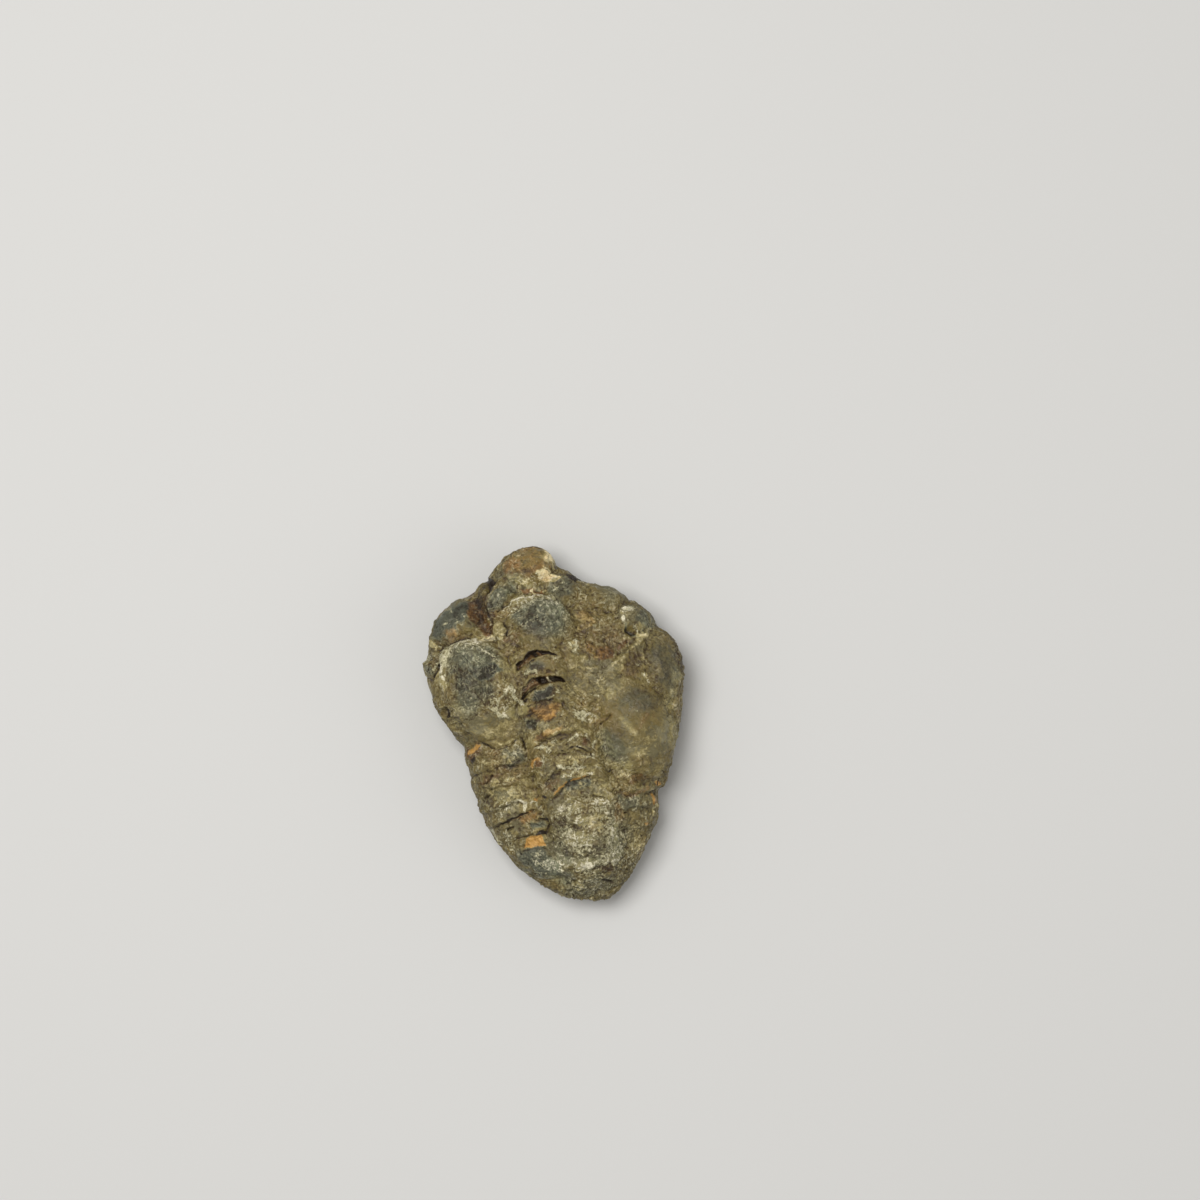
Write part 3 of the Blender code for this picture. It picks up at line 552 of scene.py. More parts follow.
CREAM_PATCHES = {
    "beside_gaps": (4.6, 7.0, 2.4, 4.0, 10, 0.3),
    "under_ring_7": (1.0, -9.9, 3.4, 1.0, 0, 0.4),
    "rib_3_low": (-11.0, -8.6, 3.2, 1.0, 8, 0.5),
    "ring_4": (-0.6, -0.4, 3.8, 0.8, 8, 0.36),
    "ring_5": (-2.4, -2.6, 1.8, 0.6, 20, 0.4),
    "ring_6": (0.4, -5.4, 3.6, 0.8, 4, 0.5),
    "ring_7": (1.0, -7.6, 3.2, 0.6, 4, 0.42),
    "rib_2": (-11.0, -3.6, 3.4, 0.6, 6, 0.45),
    "rib_3": (-11.4, -6.7, 3.2, 0.5, 8, 0.5),
    "rib_4": (-10.4, -9.6, 3.0, 0.6, 8, 0.55),
    "eye_knob": (-7.4, 16.4, 1.0, 1.1, 0, 0.5),
    "eye_knob_spot": (-9.3, 15.7, 1.2, 0.6, 0, 1.2),
    "eye_knob_spot_2": (-7.2, 15.2, 0.4, 0.3, 0, 0.95),
    "rim_bead_front": (-17.9, 15.6, 0.5, 1.0, -8, 1.1),
    # Painted highlights: the two front specks are glints in the front furrow.
    "front_speck": (-1.3, 21.6, 0.5, 0.3, 0, 1.0),
    "front_speck_2": (0.9, 21.5, 0.45, 0.35, 0, 1.0),
    "basin_yellow": (5.9, 15.7, 1.2, 1.4, 0, 0.45),
    "basin_speck": (3.8, 11.9, 1.0, 1.4, 0, 0.45),
    "right_bead": (14.6, 12.0, 0.8, 0.7, 10, 0.65),
    "under_right_shoulder": (7.9, -9.4, 0.9, 0.6, 20, 0.5),
    "shoulder": (9.8, -1.3, 1.3, 0.7, -30, 0.3),
    "shoulder_speck": (14.1, 5.2, 0.45, 0.45, 0, 0.85),
    "first_gap_bit": (-1.8, 11.5, 0.5, 0.25, 0, 1.0),
    "second_gap_bit": (-0.9, 7.5, 0.4, 0.25, 0, 1.0),
    "snout_right": (1.7, 25.4, 0.8, 1.2, -30, 0.55),
    "snout_front": (-1.6, 27.0, 2.4, 0.6, 0, 0.3),
    "right_ring_low": (2.6, -15.2, 1.6, 2.4, 0, 0.5),
    "tail_ring": (-2.3, -24.0, 1.0, 1.0, 0, 0.5),
    "left_cheek_foot": (-10.6, 1.0, 3.2, 1.8, 0, 0.42),
    "right_edge_low": (12.2, -15.6, 0.35, 0.8, 0, 0.85),
    "shoulder_wide": (11.8, -4.6, 2.6, 3.4, 0, 0.3),
    "right_foot": (7.6, -20.0, 1.8, 3.0, -20, 0.4),
}

# Dark filling in pits, notches and hollows, partly dark dirt and partly painted shade. knob_edge and
# right_knob_side are painted shadow beside the knob at the right of the snout.
SOOT_AND_SHADE_PATCHES = {
    "left_notch": (-7.9, 23.6, 0.9, 1.4, 10, 1.0),
    "above_front_furrow": (-9.9, 22.9, 1.8, 0.6, 38, 0.62),
    "top_of_front_furrow": (-9.6, 21.8, 0.8, 0.7, 0, 0.7),
    "left_rim_pit": (-17.4, 5.2, 0.4, 0.4, 0, 1.3),
    "end_of_second_gap": (-5.6, 5.5, 0.35, 0.4, 0, 1.6),
    "right_hollow": (13.0, 13.0, 0.8, 0.4, -50, 0.6),
    "blob_over_chip": (-6.0, -16.1, 0.6, 0.4, 0, 1.2),
    "beside_ring": (-4.9, 0.8, 0.6, 0.4, 30, 0.6),
    "ring_6_hollow": (-2.9, -7.3, 0.6, 0.35, 20, 0.6),
    "ring_6_hollow_2": (-2.2, -6.5, 0.3, 0.25, 0, 0.6),
    "ring_6_hollow_3": (-4.0, -8.3, 0.35, 0.3, 0, 0.5),
    "ring_7_hollow": (-4.7, -10.3, 0.4, 0.3, 0, 0.75),
    "ring_5_pit": (-0.6, -3.7, 0.2, 0.2, 0, 1.2),
    "ring_5_pit_2": (-0.5, -2.85, 0.18, 0.18, 0, 1.1),
    "ring_6_hollow_right": (5.9, -7.8, 0.4, 0.35, 0, 0.75),
    "left_spot": (-14.9, -2.9, 0.45, 0.4, 0, 0.8),
    "knob_edge": (5.1, 23.0, 0.8, 0.4, -30, 0.8),
    "right_cheek": (17.4, 6.6, 1.8, 4.2, 4, 0.36),
    "right_knob_side": (5.6, 22.4, 0.8, 0.5, -40, 0.8),
}

# Dark lines along cracks and plate edges, partly dark dirt and partly painted shadow. The streaks at the
# top of each gap are painted shadow under its overhanging wall. Those under the ring edges are partly
# painted shadow under the ledges.
SOOT_AND_SHADE_STREAKS = {
    "top_of_first_gap": ([(-5.7, 10.0), (-5.1, 10.8), (-4.2, 11.4)], 0.28, 1.2),
    "top_of_first_gap_middle": ([(-4.4, 11.3), (-3.4, 11.8), (-2.3, 12.1)], 0.6, 1.6),
    "top_of_first_gap_right": ([(-2.4, 12.2), (-1.2, 11.9), (-0.3, 11.5), (0.8, 10.8)], 0.3, 1.7),
    "foot_of_first_gap": ([(-5.7, 9.6), (-4.6, 9.9), (-3.5, 10.4), (-2.6, 10.8)], 0.26, 1.0),
    "top_of_second_gap": ([(-5.4, 6.4), (-4.8, 7.1), (-3.7, 7.8), (-2.8, 8.0)], 0.26, 1.2),
    "middle_of_second_gap": ([(-2.9, 7.6), (-2.1, 7.6), (-1.6, 7.6)], 1.0, 1.5),
    "right_of_second_gap": ([(-0.2, 7.6), (0.8, 7.5), (1.6, 6.9)], 0.7, 1.6),
    "foot_of_second_gap": ([(-5.8, 5.3), (-4.8, 5.8), (-4.0, 6.2), (-3.0, 6.5)], 0.3, 1.2),
    "over_ring_3": ([(-4.9, 3.9), (-3.9, 4.2), (-2.3, 4.6), (-0.8, 4.5)], 0.35, 0.9),
    "in_ring_3": ([(-5.0, 2.5), (-3.6, 2.9)], 0.35, 0.75),
    "under_ring_3": ([(-2.5, 1.0), (-1.0, 1.6)], 0.3, 0.7),
    "beside_ring_3": ([(0.1, 4.3), (0.4, 3.6), (0.3, 2.9)], 0.2, 0.7),
    "under_ring_4": ([(-4.8, -2.6), (-3.0, -1.8), (-1.2, -1.25), (0.4, -1.2), (1.9, -1.15)], 0.25, 0.6),
    "under_ring_5": ([(0.3, -3.6), (1.5, -3.5), (2.8, -4.2), (3.6, -4.7), (3.8, -5.5)], 0.25, 0.8),
    "under_orange_arc": ([(-3.4, -10.9), (-1.8, -9.8), (-0.6, -9.2), (1.2, -8.8)], 0.35, 0.65),
    "over_ring_8": ([(3.0, -11.4), (4.4, -11.9)], 0.25, 0.6),
    "rib_1": ([(-15.5, 1.6), (-13.4, -0.2), (-11.7, -1.9)], 0.35, 0.65),
    "rib_1_right": ([(-10.8, -2.0), (-8.9, -1.7), (-7.3, -0.7)], 0.3, 0.6),
    "rib_2": ([(-16.0, -5.6), (-14.6, -5.2), (-12.4, -4.8)], 0.3, 0.6),
    "rib_4": ([(-13.8, -11.2), (-11.0, -10.9), (-9.6, -10.5)], 0.3, 0.55),
    "rib_5": ([(-13.5, -14.0), (-11.5, -13.1), (-9.4, -12.6), (-7.3, -12.2)], 0.4, 0.85),
    "over_chip": ([(-9.2, -16.2), (-7.6, -15.8), (-6.4, -15.7)], 0.3, 0.7),
    "under_chip": ([(-9.7, -18.3), (-7.6, -18.2), (-6.0, -18.5)], 0.35, 0.7),
    "left_of_tail_lobe": ([(-10.2, -16.8), (-10.3, -17.8), (-9.9, -18.8)], 0.3, 0.7),
    "right_notch": ([(13.6, -11.0), (13.1, -11.9), (12.6, -12.8)], 0.35, 1.0),
    "under_right_shoulder": ([(13.8, -9.4), (14.4, -10.0), (14.8, -10.6)], 0.3, 0.7),
    "front_furrow": ([(-8.8, 20.9), (-8.5, 19.4), (-8.3, 18.0)], 0.35, 0.95),
    "snout_left": ([(-6.6, 24.9), (-5.4, 26.2), (-4.4, 27.0)], 0.35, 0.7),
    "over_left_cheek": ([(-17.8, 14.9), (-16.0, 15.1), (-14.4, 15.8), (-12.5, 16.1)], 0.35, 0.85),
    "eye_knob_side": ([(-6.4, 17.2), (-6.1, 16.2), (-6.5, 15.1)], 0.35, 0.85),
}

FROST_STREAKS = {
    "rib_3_beads": ([(-12.0, -10.2), (-10.9, -9.2), (-9.8, -8.0)], 0.4, 0.9),
    "beside_rib_5": ([(-5.8, -11.6), (-5.6, -12.6), (-5.9, -13.4)], 0.4, 1.0),
    "left_outline": ([(-14.1, -14.2), (-13.6, -15.4), (-12.9, -16.8)], 0.5, 1.1),
    "wedge": (
        [
            (-9.7, 4.6), (-8.9, 6.0), (-8.3, 6.2), (-7.2, 7.6), (-6.8, 6.6), (-6.9, 5.9),
            (-6.5, 5.1), (-5.9, 4.3),
        ],
        0.5,
        1.3,
    ),
    "under_wedge": ([(-10.9, 4.9), (-9.9, 4.6), (-9.3, 3.6), (-8.6, 3.4), (-8.0, 2.6)], 0.45, 1.2),
    "between_gaps": (
        [(-4.9, 9.3), (-4.3, 8.8), (-3.8, 9.3), (-3.4, 8.9), (-2.9, 9.1), (-2.5, 8.7)],
        0.5,
        1.3,
    ),
    "left_of_gaps": ([(-7.5, 7.6), (-6.9, 7.2), (-6.8, 6.8)], 0.4, 1.2),
    "gap_crystals": ([(-1.3, 8.1), (-1.0, 7.5), (-0.7, 7.1)], 0.5, 0.9),
    "gap_crystals_2": ([(-0.9, 8.0), (-0.4, 7.5), (-0.5, 6.9)], 0.5, 0.9),
    "ring_3_right": ([(2.2, 1.8), (2.6, 1.3), (3.2, 1.6), (3.6, 0.9), (4.4, 1.0), (5.0, 0.3)], 0.6, 1.3),
    "ring_3_right_low": ([(2.3, 1.0), (2.9, 0.4), (3.5, 0.3)], 0.5, 1.3),
    "ring_5_arc": ([(-5.1, -2.6), (-4.2, -2.9), (-3.4, -2.7), (-2.6, -3.0), (-3.0, -3.5)], 0.5, 1.2),
    "ring_5_arc_low": ([(-3.5, -3.9), (-3.9, -4.6), (-4.3, -5.7)], 0.4, 1.0),
    "ring_4_bits": ([(0.3, -2.6), (0.9, -2.2), (1.5, -2.1), (2.0, -1.6), (2.3, -1.9)], 0.5, 1.3),
    "ring_5_edge": ([(4.2, -4.0), (4.4, -3.3), (5.0, -3.1)], 0.45, 1.3),
    "ring_5_low": ([(2.1, -4.9), (3.0, -5.2), (4.1, -5.6)], 0.4, 1.1),
    "ring_6": (
        [
            (-1.9, -6.7), (-1.5, -6.0), (-0.9, -6.6), (-0.4, -6.3), (0.2, -6.6), (0.7, -6.2),
            (1.4, -6.6), (2.6, -6.7),
        ],
        0.5,
        1.3,
    ),
    "ring_6_low": ([(-0.9, -7.4), (-0.2, -7.9), (0.2, -7.3), (1.0, -7.0), (1.8, -7.1)], 0.5, 1.3),
    "basin_bits": ([(3.2, 12.4), (3.9, 11.9), (4.4, 12.3), (4.8, 11.5)], 0.5, 1.1),
    "basin_bits_low": ([(3.4, 11.3), (4.1, 11.0), (4.6, 10.5)], 0.5, 1.1),
    "right_of_ring_3": ([(5.0, 4.1), (5.6, 3.6), (6.4, 3.4)], 0.4, 1.0),
    "snout_streak": ([(-0.1, 23.4), (1.3, 23.0), (3.0, 22.6)], 0.4, 0.9),
    "by_snout_top": ([(6.2, 22.3), (6.9, 21.6), (7.6, 21.4)], 0.25, 0.9),
    "cheek_ridge": ([(-15.6, 14.3), (-16.0, 13.2), (-16.6, 12.2), (-17.4, 10.9)], 0.9, 1.3),
    "cheek_ridge_branch": ([(-16.6, 12.2), (-15.6, 12.0), (-15.2, 11.2)], 0.4, 1.0),
    "cheek_ridge_top": ([(-16.9, 14.4), (-16.5, 13.4), (-17.0, 12.6)], 0.6, 1.2),
    "cheek_top": ([(-17.2, 14.2), (-15.2, 15.0), (-13.6, 15.6), (-12.0, 15.8), (-10.8, 15.1)], 0.8, 1.1),
    "rim_bead": ([(-20.0, 11.6), (-19.8, 12.8), (-19.0, 13.9), (-17.9, 14.1)], 0.5, 1.1),
    "rim_bead_inner": ([(-17.6, 13.4), (-17.8, 12.6), (-18.6, 11.6)], 0.25, 1.2),
    "cheek_arc": ([(-11.8, 15.2), (-10.4, 13.4), (-8.8, 12.4), (-7.9, 11.2)], 0.3, 1.1),
    "rib_arc": ([(-13.1, -8.4), (-12.5, -7.5), (-11.6, -7.1), (-10.2, -7.2)], 0.3, 0.75),
    "rib_arc_2": ([(-10.9, -6.9), (-9.2, -6.4), (-8.0, -6.5)], 0.25, 0.65),
    "rib_crescent": ([(-9.4, -10.4), (-8.5, -10.2), (-7.9, -10.9), (-8.1, -12.0)], 0.6, 1.3),
    "rib_crescent_2": ([(-7.4, -10.9), (-6.4, -10.9), (-6.2, -11.7)], 0.4, 1.0),
    "second_gap_foot": ([(-3.3, 6.1), (-2.4, 6.2), (-1.5, 6.3)], 0.3, 0.9),
    "left_edge": ([(-12.1, -14.4), (-11.9, -16.0), (-11.6, -17.6)], 0.6, 0.9),
    "glabella_front": ([(-6.1, 19.3), (-4.6, 20.4), (-3.1, 20.9), (-1.1, 20.8), (1.9, 20.0)], 0.6, 1.05),
    "tail_ring": (
        [(-3.2, -24.0), (-2.3, -23.1), (-1.4, -24.0), (-2.3, -24.9), (-3.2, -24.0)],
        0.35,
        0.8,
    ),
    "right_rib": ([(6.4, -19.6), (8.2, -21.6)], 0.3, 0.6),
    "by_right_knob": ([(6.1, 21.2), (6.4, 19.6), (6.2, 18.2)], 0.35, 0.7),
    "right_eye_rim": ([(13.4, 13.9), (13.9, 13.2), (14.2, 12.5)], 0.3, 1.0),
}

OCHRE_STREAKS = {
    "orange_arc": ([(-3.4, -10.3), (-2.6, -9.7), (-1.6, -9.1), (-0.9, -8.7)], 0.3, 0.85),
    "orange_arc_right": ([(-0.2, -8.7), (0.5, -8.4), (1.2, -8.2), (2.4, -8.2)], 0.3, 0.9),
    "ring_spot": ([(-5.9, -5.6), (-5.95, -4.9), (-5.5, -4.4), (-4.9, -4.4), (-4.5, -4.8)], 0.45, 0.8),
    "beside_axis": ([(-6.6, -10.6), (-5.9, -10.8)], 0.4, 0.9),
    "left_streak": ([(-15.6, -2.0), (-14.8, -1.3), (-13.8, -1.0)], 0.8, 0.95),
    "ring_4_band": ([(-5.2, -2.0), (-4.0, -1.3), (-2.0, -0.4)], 0.4, 0.36),
    "rib_5": ([(-10.2, -12.9), (-8.4, -12.4), (-7.0, -12.2)], 0.35, 0.66),
}

CREAM_STREAKS = {
    "snout_streak": ([(0.1, 23.6), (1.6, 23.1), (3.2, 22.6)], 1.1, 1.7),
    "snout_streak_top": ([(1.0, 24.3), (2.1, 23.8), (3.0, 23.2)], 0.3, 0.7),
    "snout_line": ([(-3.4, 22.5), (-2.5, 23.1), (-1.2, 23.1)], 0.4, 0.7),
    "snout_edge": ([(1.0, 27.0), (2.2, 25.2), (2.9, 23.8)], 0.5, 0.75),
    "right_ridge": (
        [(14.9, 11.7), (13.2, 10.5), (12.1, 9.7), (10.7, 8.7), (9.3, 7.8), (8.2, 7.1)],
        0.6,
        0.42,
    ),
    "right_cheek_ridge": ([(14.6, 9.6), (14.2, 7.0), (14.3, 4.6)], 0.5, 0.4),
    "second_gap_edge": ([(-5.4, 5.6), (-3.9, 6.4), (-2.4, 6.9)], 0.3, 0.8),
    "left_lower_cheek": ([(-11.9, -0.6), (-9.6, -1.2), (-8.0, -0.6)], 0.5, 0.6),
    "rib_2_edge": ([(-13.0, -8.4), (-12.3, -7.4), (-11.0, -7.0)], 0.25, 0.6),
}


# ---------------------------------------------------------------- shaping the stone

def smooth(values):
    """The values held between 0 and 1, with both ends eased."""
    held = np.clip(values, 0.0, 1.0)
    return held * held * (3.0 - 2.0 * held)


def outline_radius(angles):
    """Distance from the middle to the edge of the stone, with its corners eased."""
    corners = np.array(OUTLINE)
    corner_angles = np.arctan2(corners[:, 1], corners[:, 0])
    corner_radii = np.hypot(corners[:, 0], corners[:, 1])
    eased = np.zeros_like(angles)
    for shift in np.radians((-2.4, -1.2, 0.0, 1.2, 2.4)):
        eased += np.interp(angles + shift, corner_angles, corner_radii, period=2 * math.pi)
    return eased / 5


def back_height(y):
    """Height of the back along its middle line, with the joins of the profile eased."""
    stations = [station for station, _ in BACK]
    heights = [height for _, height in BACK]
    eased = np.zeros_like(y)
    for shift in (-3.0, -1.5, 0.0, 1.5, 3.0):
        eased += np.interp(y + shift, stations, heights)
    return eased / 5


def nodule_points(directions):
    """The smooth stone: each direction from the middle becomes a point on its surface."""
    flat = np.hypot(directions[:, 0], directions[:, 1])
    angles = np.arctan2(directions[:, 1], directions[:, 0])
    reach = outline_radius(angles) * flat**FULLNESS
    points = np.empty_like(directions)
    points[:, 0] = reach * np.cos(angles)
    points[:, 1] = reach * np.sin(angles)
    rim = RIM_HEIGHT + RIM_LIFT_AT_HEAD * np.sin(angles) * flat
    rise = np.abs(directions[:, 2]) ** FULLNESS
    above = rim + (back_height(points[:, 1]) - rim) * rise
    below = rim - (rim + BELLY_DEPTH) * rise
    points[:, 2] = np.where(directions[:, 2] > 0, above, below)
    return points


def across_and_along(points, x, y, half_x, half_y, turn):
    """How far each point lies across and along a turned oval, 1 at the oval's edge."""
    cosine = math.cos(math.radians(turn))
    sine = math.sin(math.radians(turn))
    across = (points[:, 0] - x) * cosine + (points[:, 1] - y) * sine
    along = (points[:, 1] - y) * cosine - (points[:, 0] - x) * sine
    return across / half_x, along / half_y


def oval(points, form):
    """1 at the middle of an oval form and 0 outside it."""
    across, along = across_and_along(points, *form[:5])
    crispness = form[6]
    return np.clip(1.0 - across**2 - along**2, 0.0, 1.0) ** crispness


def path_distance(points, path):
    """Distance to a path, its side (positive toward the tail) and the run along it, 0 to 1."""
    corners = np.array(path)
    lengths = np.hypot(*(corners[1:] - corners[:-1]).T)
    nearest = np.full(len(points), np.inf)
    side = np.zeros(len(points))
    run = np.zeros(len(points))
    done = 0.0
    for start, end, length in zip(corners[:-1], corners[1:], lengths):
        step = (end - start) / length
        offset = points[:, :2] - start
        travel = np.clip(offset @ step, 0.0, length)
        away = offset - travel[:, None] * step
        distance = np.hypot(away[:, 0], away[:, 1])
        closer = distance < nearest
        cross = offset[:, 0] * step[1] - offset[:, 1] * step[0]
        nearest = np.where(closer, distance, nearest)
        side = np.where(closer, np.sign(cross), side)
        run = np.where(closer, (done + travel) / lengths.sum(), run)
        done += length
    return nearest, side, run


def furrow(points, path, width):
    """1 along the bottom of a rounded furrow and 0 beyond its banks."""
    distance, _, _ = path_distance(points, path)
    return smooth(1.0 - distance / width)


def depth_inside(points, outline):
    """Distance from each point inside an outline to its edge, and 0 for a point outside."""
    corners = np.array(outline)
    inside = np.zeros(len(points), bool)
    x = points[:, 0]
    y = points[:, 1]
    for start, end in zip(corners, np.roll(corners, -1, axis=0)):
        straddles = (start[1] > y) != (end[1] > y)
        crossing = start[0] + (y - start[1]) * (end[0] - start[0]) / (end[1] - start[1] + 1e-9)
        inside ^= straddles & (x < crossing)
    distance, _, _ = path_distance(points, outline + outline[:1])
    return np.where(inside, distance, 0.0)


def ledge(points, path):
    """A lifted edge on the head side of the path and a drop on its tail side."""
    distance, side, run = path_distance(points, path)
    ends = smooth(np.minimum(run, 1.0 - run) / 0.16) * 0.75 + 0.25
    lifted = LEDGE_LIFT * smooth(1.0 - distance / LEDGE_LIFT_WIDTH)
    dropped = -LEDGE_DROP * smooth(1.0 - distance / LEDGE_DROP_WIDTH)
    return ends * smooth(distance / LEDGE_STEP_WIDTH) * np.where(side > 0, dropped, lifted)


def ring_axis(points):
    """The raised middle lobe that carries the rings, wider toward the tail."""
    y = points[:, 1]
    middle = np.interp(y, *AXIS_MIDDLE)
    half = np.interp(y, *AXIS_HALF_WIDTH)
    across = np.clip(1.0 - ((points[:, 0] - middle) / half) ** 2, 0.0, 1.0)
    return across**0.8 * smooth((y + 27.5) / 5.0) * smooth((13.6 - y) / 2.5)


def weathering(points, scale, seed):
    """Lumps and dents of worn stone, about -1 to 1, as wide as the scale."""
    drift = Vector((seed, 2.3 * seed, -seed))
    return np.array([noise.fractal(Vector(point) / scale + drift, 0.9, 2.1, 3) for point in points])


def out_of_true(stone):
    """The same points pushed about a little, so that no form keeps a perfect edge."""
    points = stone.copy()
    points[:, 0] += WANDER * weathering(stone, 7.0, 1.0) + WOBBLE * weathering(stone, 1.3, 31.0)
    points[:, 1] += WANDER * weathering(stone, 7.0, 2.0) + WOBBLE * weathering(stone, 1.3, 32.0)
    return points


def shell_forms(points):
    """Height of the main forms of the shell over the smooth back."""
    relief = RING_RELIEF * ring_axis(points)
    for form in SWELLINGS.values():
        relief += form[5] * oval(points, form)
    for form in HOLLOWS.values():
        relief -= form[5] * oval(points, form)
    for path, width, depth in FURROWS.values():
        relief -= depth * furrow(points, path, width)
    for path, drop in LEDGES.values():
        relief += drop * ledge(points, path)
    for outline, depth in GAPS.values():
        opened = smooth(depth_inside(points, outline) / GAP_EDGE)
        relief -= depth * opened
        for path, width, height in SLIVERS.values():
            relief += height * opened * furrow(points, path, width)
    relief -= CHIP_DEPTH * smooth(depth_inside(points, CHIP) / CHIP_EDGE)
    return relief


def broken_edges(points):
    """Cracks and proud flake edges, finer than the main forms."""
    relief = np.zeros(len(points))
    for path, _, strength in SOOT_AND_SHADE_STREAKS.values():
        relief -= SOOT_CRACK_DEPTH * strength * furrow(points, path, SOOT_CRACK_WIDTH)
    for path, width, depth in CRACKS.values():
        relief -= depth * furrow(points, path, width)
    for path, width, height in FLAKE_EDGES.values():
        relief += height * furrow(points, path, width)
    return relief


def growth_lines(points):
    """Distance in mm across the rings and ribs, the same all along one ring or rib."""
    y = points[:, 1]
    off = np.abs(points[:, 0] - np.interp(y, *AXIS_MIDDLE))
    bow = np.where(off < 5.8, 0.11 * off**2, 0.05 * (off - 10.5) ** 2 + 2.6)
    return y + bow * smooth((13.0 - y) / 6.0)


def chipping(points, size, seed):
    """Small tilted facets, as calcite leaves where it chips: -1 to 1."""
    drift = Vector((seed, -seed, 1.7 * seed))
    heights = np.empty(len(points))
    for index, point in enumerate(points):
        place = Vector(point) / size + drift
        _, centres = noise.voronoi(place)
        tilt = noise.cell_vector(centres[0] * 7.3) * 2.0 - Vector((1.0, 1.0, 1.0))
        heights[index] = (place - centres[0]).dot(tilt)
    return heights


def beads(points, size, seed):
    """Rounded grains packed side by side: 1 at the middle of a grain, 0 between grains."""
    drift = Vector((seed, seed, -2.0 * seed))
    gaps = np.empty(len(points))
    for index, point in enumerate(points):
        distances, _ = noise.voronoi(Vector(point) / size + drift)
        gaps[index] = distances[1] - distances[0]
    return smooth(gaps / 0.5)


def level_lines(values, width):
    """1 along the lines where the values pass through 0, which run in loops and curls."""
    return smooth(1.0 - np.abs(values) / width)


def belly_relief(directions, stone):
    """The rough underside: worn lumps, and a groove where the rolled rim of the shell ends."""
    flat = np.hypot(directions[:, 0], directions[:, 1])
    worn = smooth(0.5 + weathering(stone, 9.0, 6.0))
    groove = smooth(1.0 - np.abs(flat - GROOVE_PLACE) / GROOVE_WIDTH)
    return BELLY_ROUGHNESS * weathering(stone, 6.0, 9.0) - GROOVE_DEPTH * worn * groove


def fine_relief(points, stone):
    """Chips, growth lines and grains under a millimetre, each where the shell shows it."""
    across = growth_lines(points)
    along = np.column_stack((points[:, 0] / 3.5, across / 0.75, points[:, 2] / 3.5))
    lines = weathering(along, 1.0, 5.0)
    ringed = smooth((4.0 - points[:, 1]) / 4.0) * smooth((points[:, 1] + 20.0) / 4.0)
    grainy = smooth((-8.0 - points[:, 1]) / 5.0) * smooth(1.0 - (np.abs(points[:, 0] - 1.0) - 6.0) / 5.0)
    rough = 1.0 - 0.8 * mineral(points, stone, SMOOTH_AREAS)
    relief = GROWTH_LINE_HEIGHT * lines * (0.35 + 0.65 * ringed)
    relief += FACET_HEIGHT * rough * chipping(stone, FACET_WIDTH, 3.0)
    relief += GRAIN_HEIGHT * grainy * (beads(stone, GRAIN_WIDTH, 8.0) - 0.5)
    wrinkled = np.column_stack((stone[:, 0] * 0.8, across * 1.1, stone[:, 2]))
    relief += WRINKLE_HEIGHT * rough * level_lines(weathering(wrinkled, 1.7, 11.0), 0.13)
    relief -= HAIR_CRACK_DEPTH * rough * level_lines(weathering(wrinkled, 2.6, 12.0), 0.07)
    return relief


def rows_of(source, name):
    """A vector of each point in one of the mesh's lists, as rows of three numbers."""
    numbers = np.empty(len(source) * 3)
    source.foreach_get(name, numbers)
    return numbers.reshape(-1, 3)


def store(mesh, name, values):
    """Keeps a number or a vector for each point, for the material to read."""
    kind, field = ("FLOAT", "value") if values.ndim == 1 else ("FLOAT_VECTOR", "vector")
    kept = mesh.attributes.new(name, kind, "POINT")
    kept.data.foreach_set(field, values.ravel().astype(np.float32))


def shape_stone(mesh):
    """Turns the unit sphere in the mesh into the stone, with all of its relief.

    It returns where each point lay before its relief, which the forms go by, and where it lies
    after it, which the grain goes by so that it isn't drawn out down the walls of the gaps.
    """
    directions = rows_of(mesh.vertices, "co")
    directions /= np.linalg.norm(directions, axis=1)[:, None]
    stone = nodule_points(directions)
    mesh.vertices.foreach_set("co", stone.ravel())
    mesh.update()
    normals = rows_of(mesh.vertex_normals, "vector")
    on_back = smooth((directions[:, 2] + 0.22) / 0.4)
    points = out_of_true(stone)
    forms = shell_forms(points) + ROUGHNESS * weathering(stone, 3.2, 4.0)
    detail = broken_edges(points) + fine_relief(points, stone)
    lift = on_back * (forms + detail) + (1.0 - on_back) * belly_relief(directions, stone)
    moved = normals * lift[:, None]
    stone += moved
    lowest, highest = (np.array(corner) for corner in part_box("trilobite_fossil"))
    stone[:, :2] *= (highest - lowest)[:2] / MM / np.ptp(stone[:, :2], axis=0)
    stone[:, :2] -= (stone[:, :2].max(axis=0) + stone[:, :2].min(axis=0)) / 2
    stone[:, 2] = np.maximum(stone[:, 2], 0.0)
    mesh.vertices.foreach_set("co", (stone * MM).ravel())
    mesh.update()
    return points, points + moved


def fewer_triangles(stone, kept):
    """Collapses the flattest triangles first, so that the edges of cracks keep theirs."""
    fewer = stone.modifiers.new("fewer", "DECIMATE")
    fewer.ratio = kept / len(stone.data.polygons)
    graph = bpy.context.evaluated_depsgraph_get()
    lighter = bpy.data.meshes.new_from_object(stone.evaluated_get(graph))
    stone.modifiers.clear()
    heavy = stone.data
    stone.data = lighter
    bpy.data.meshes.remove(heavy)


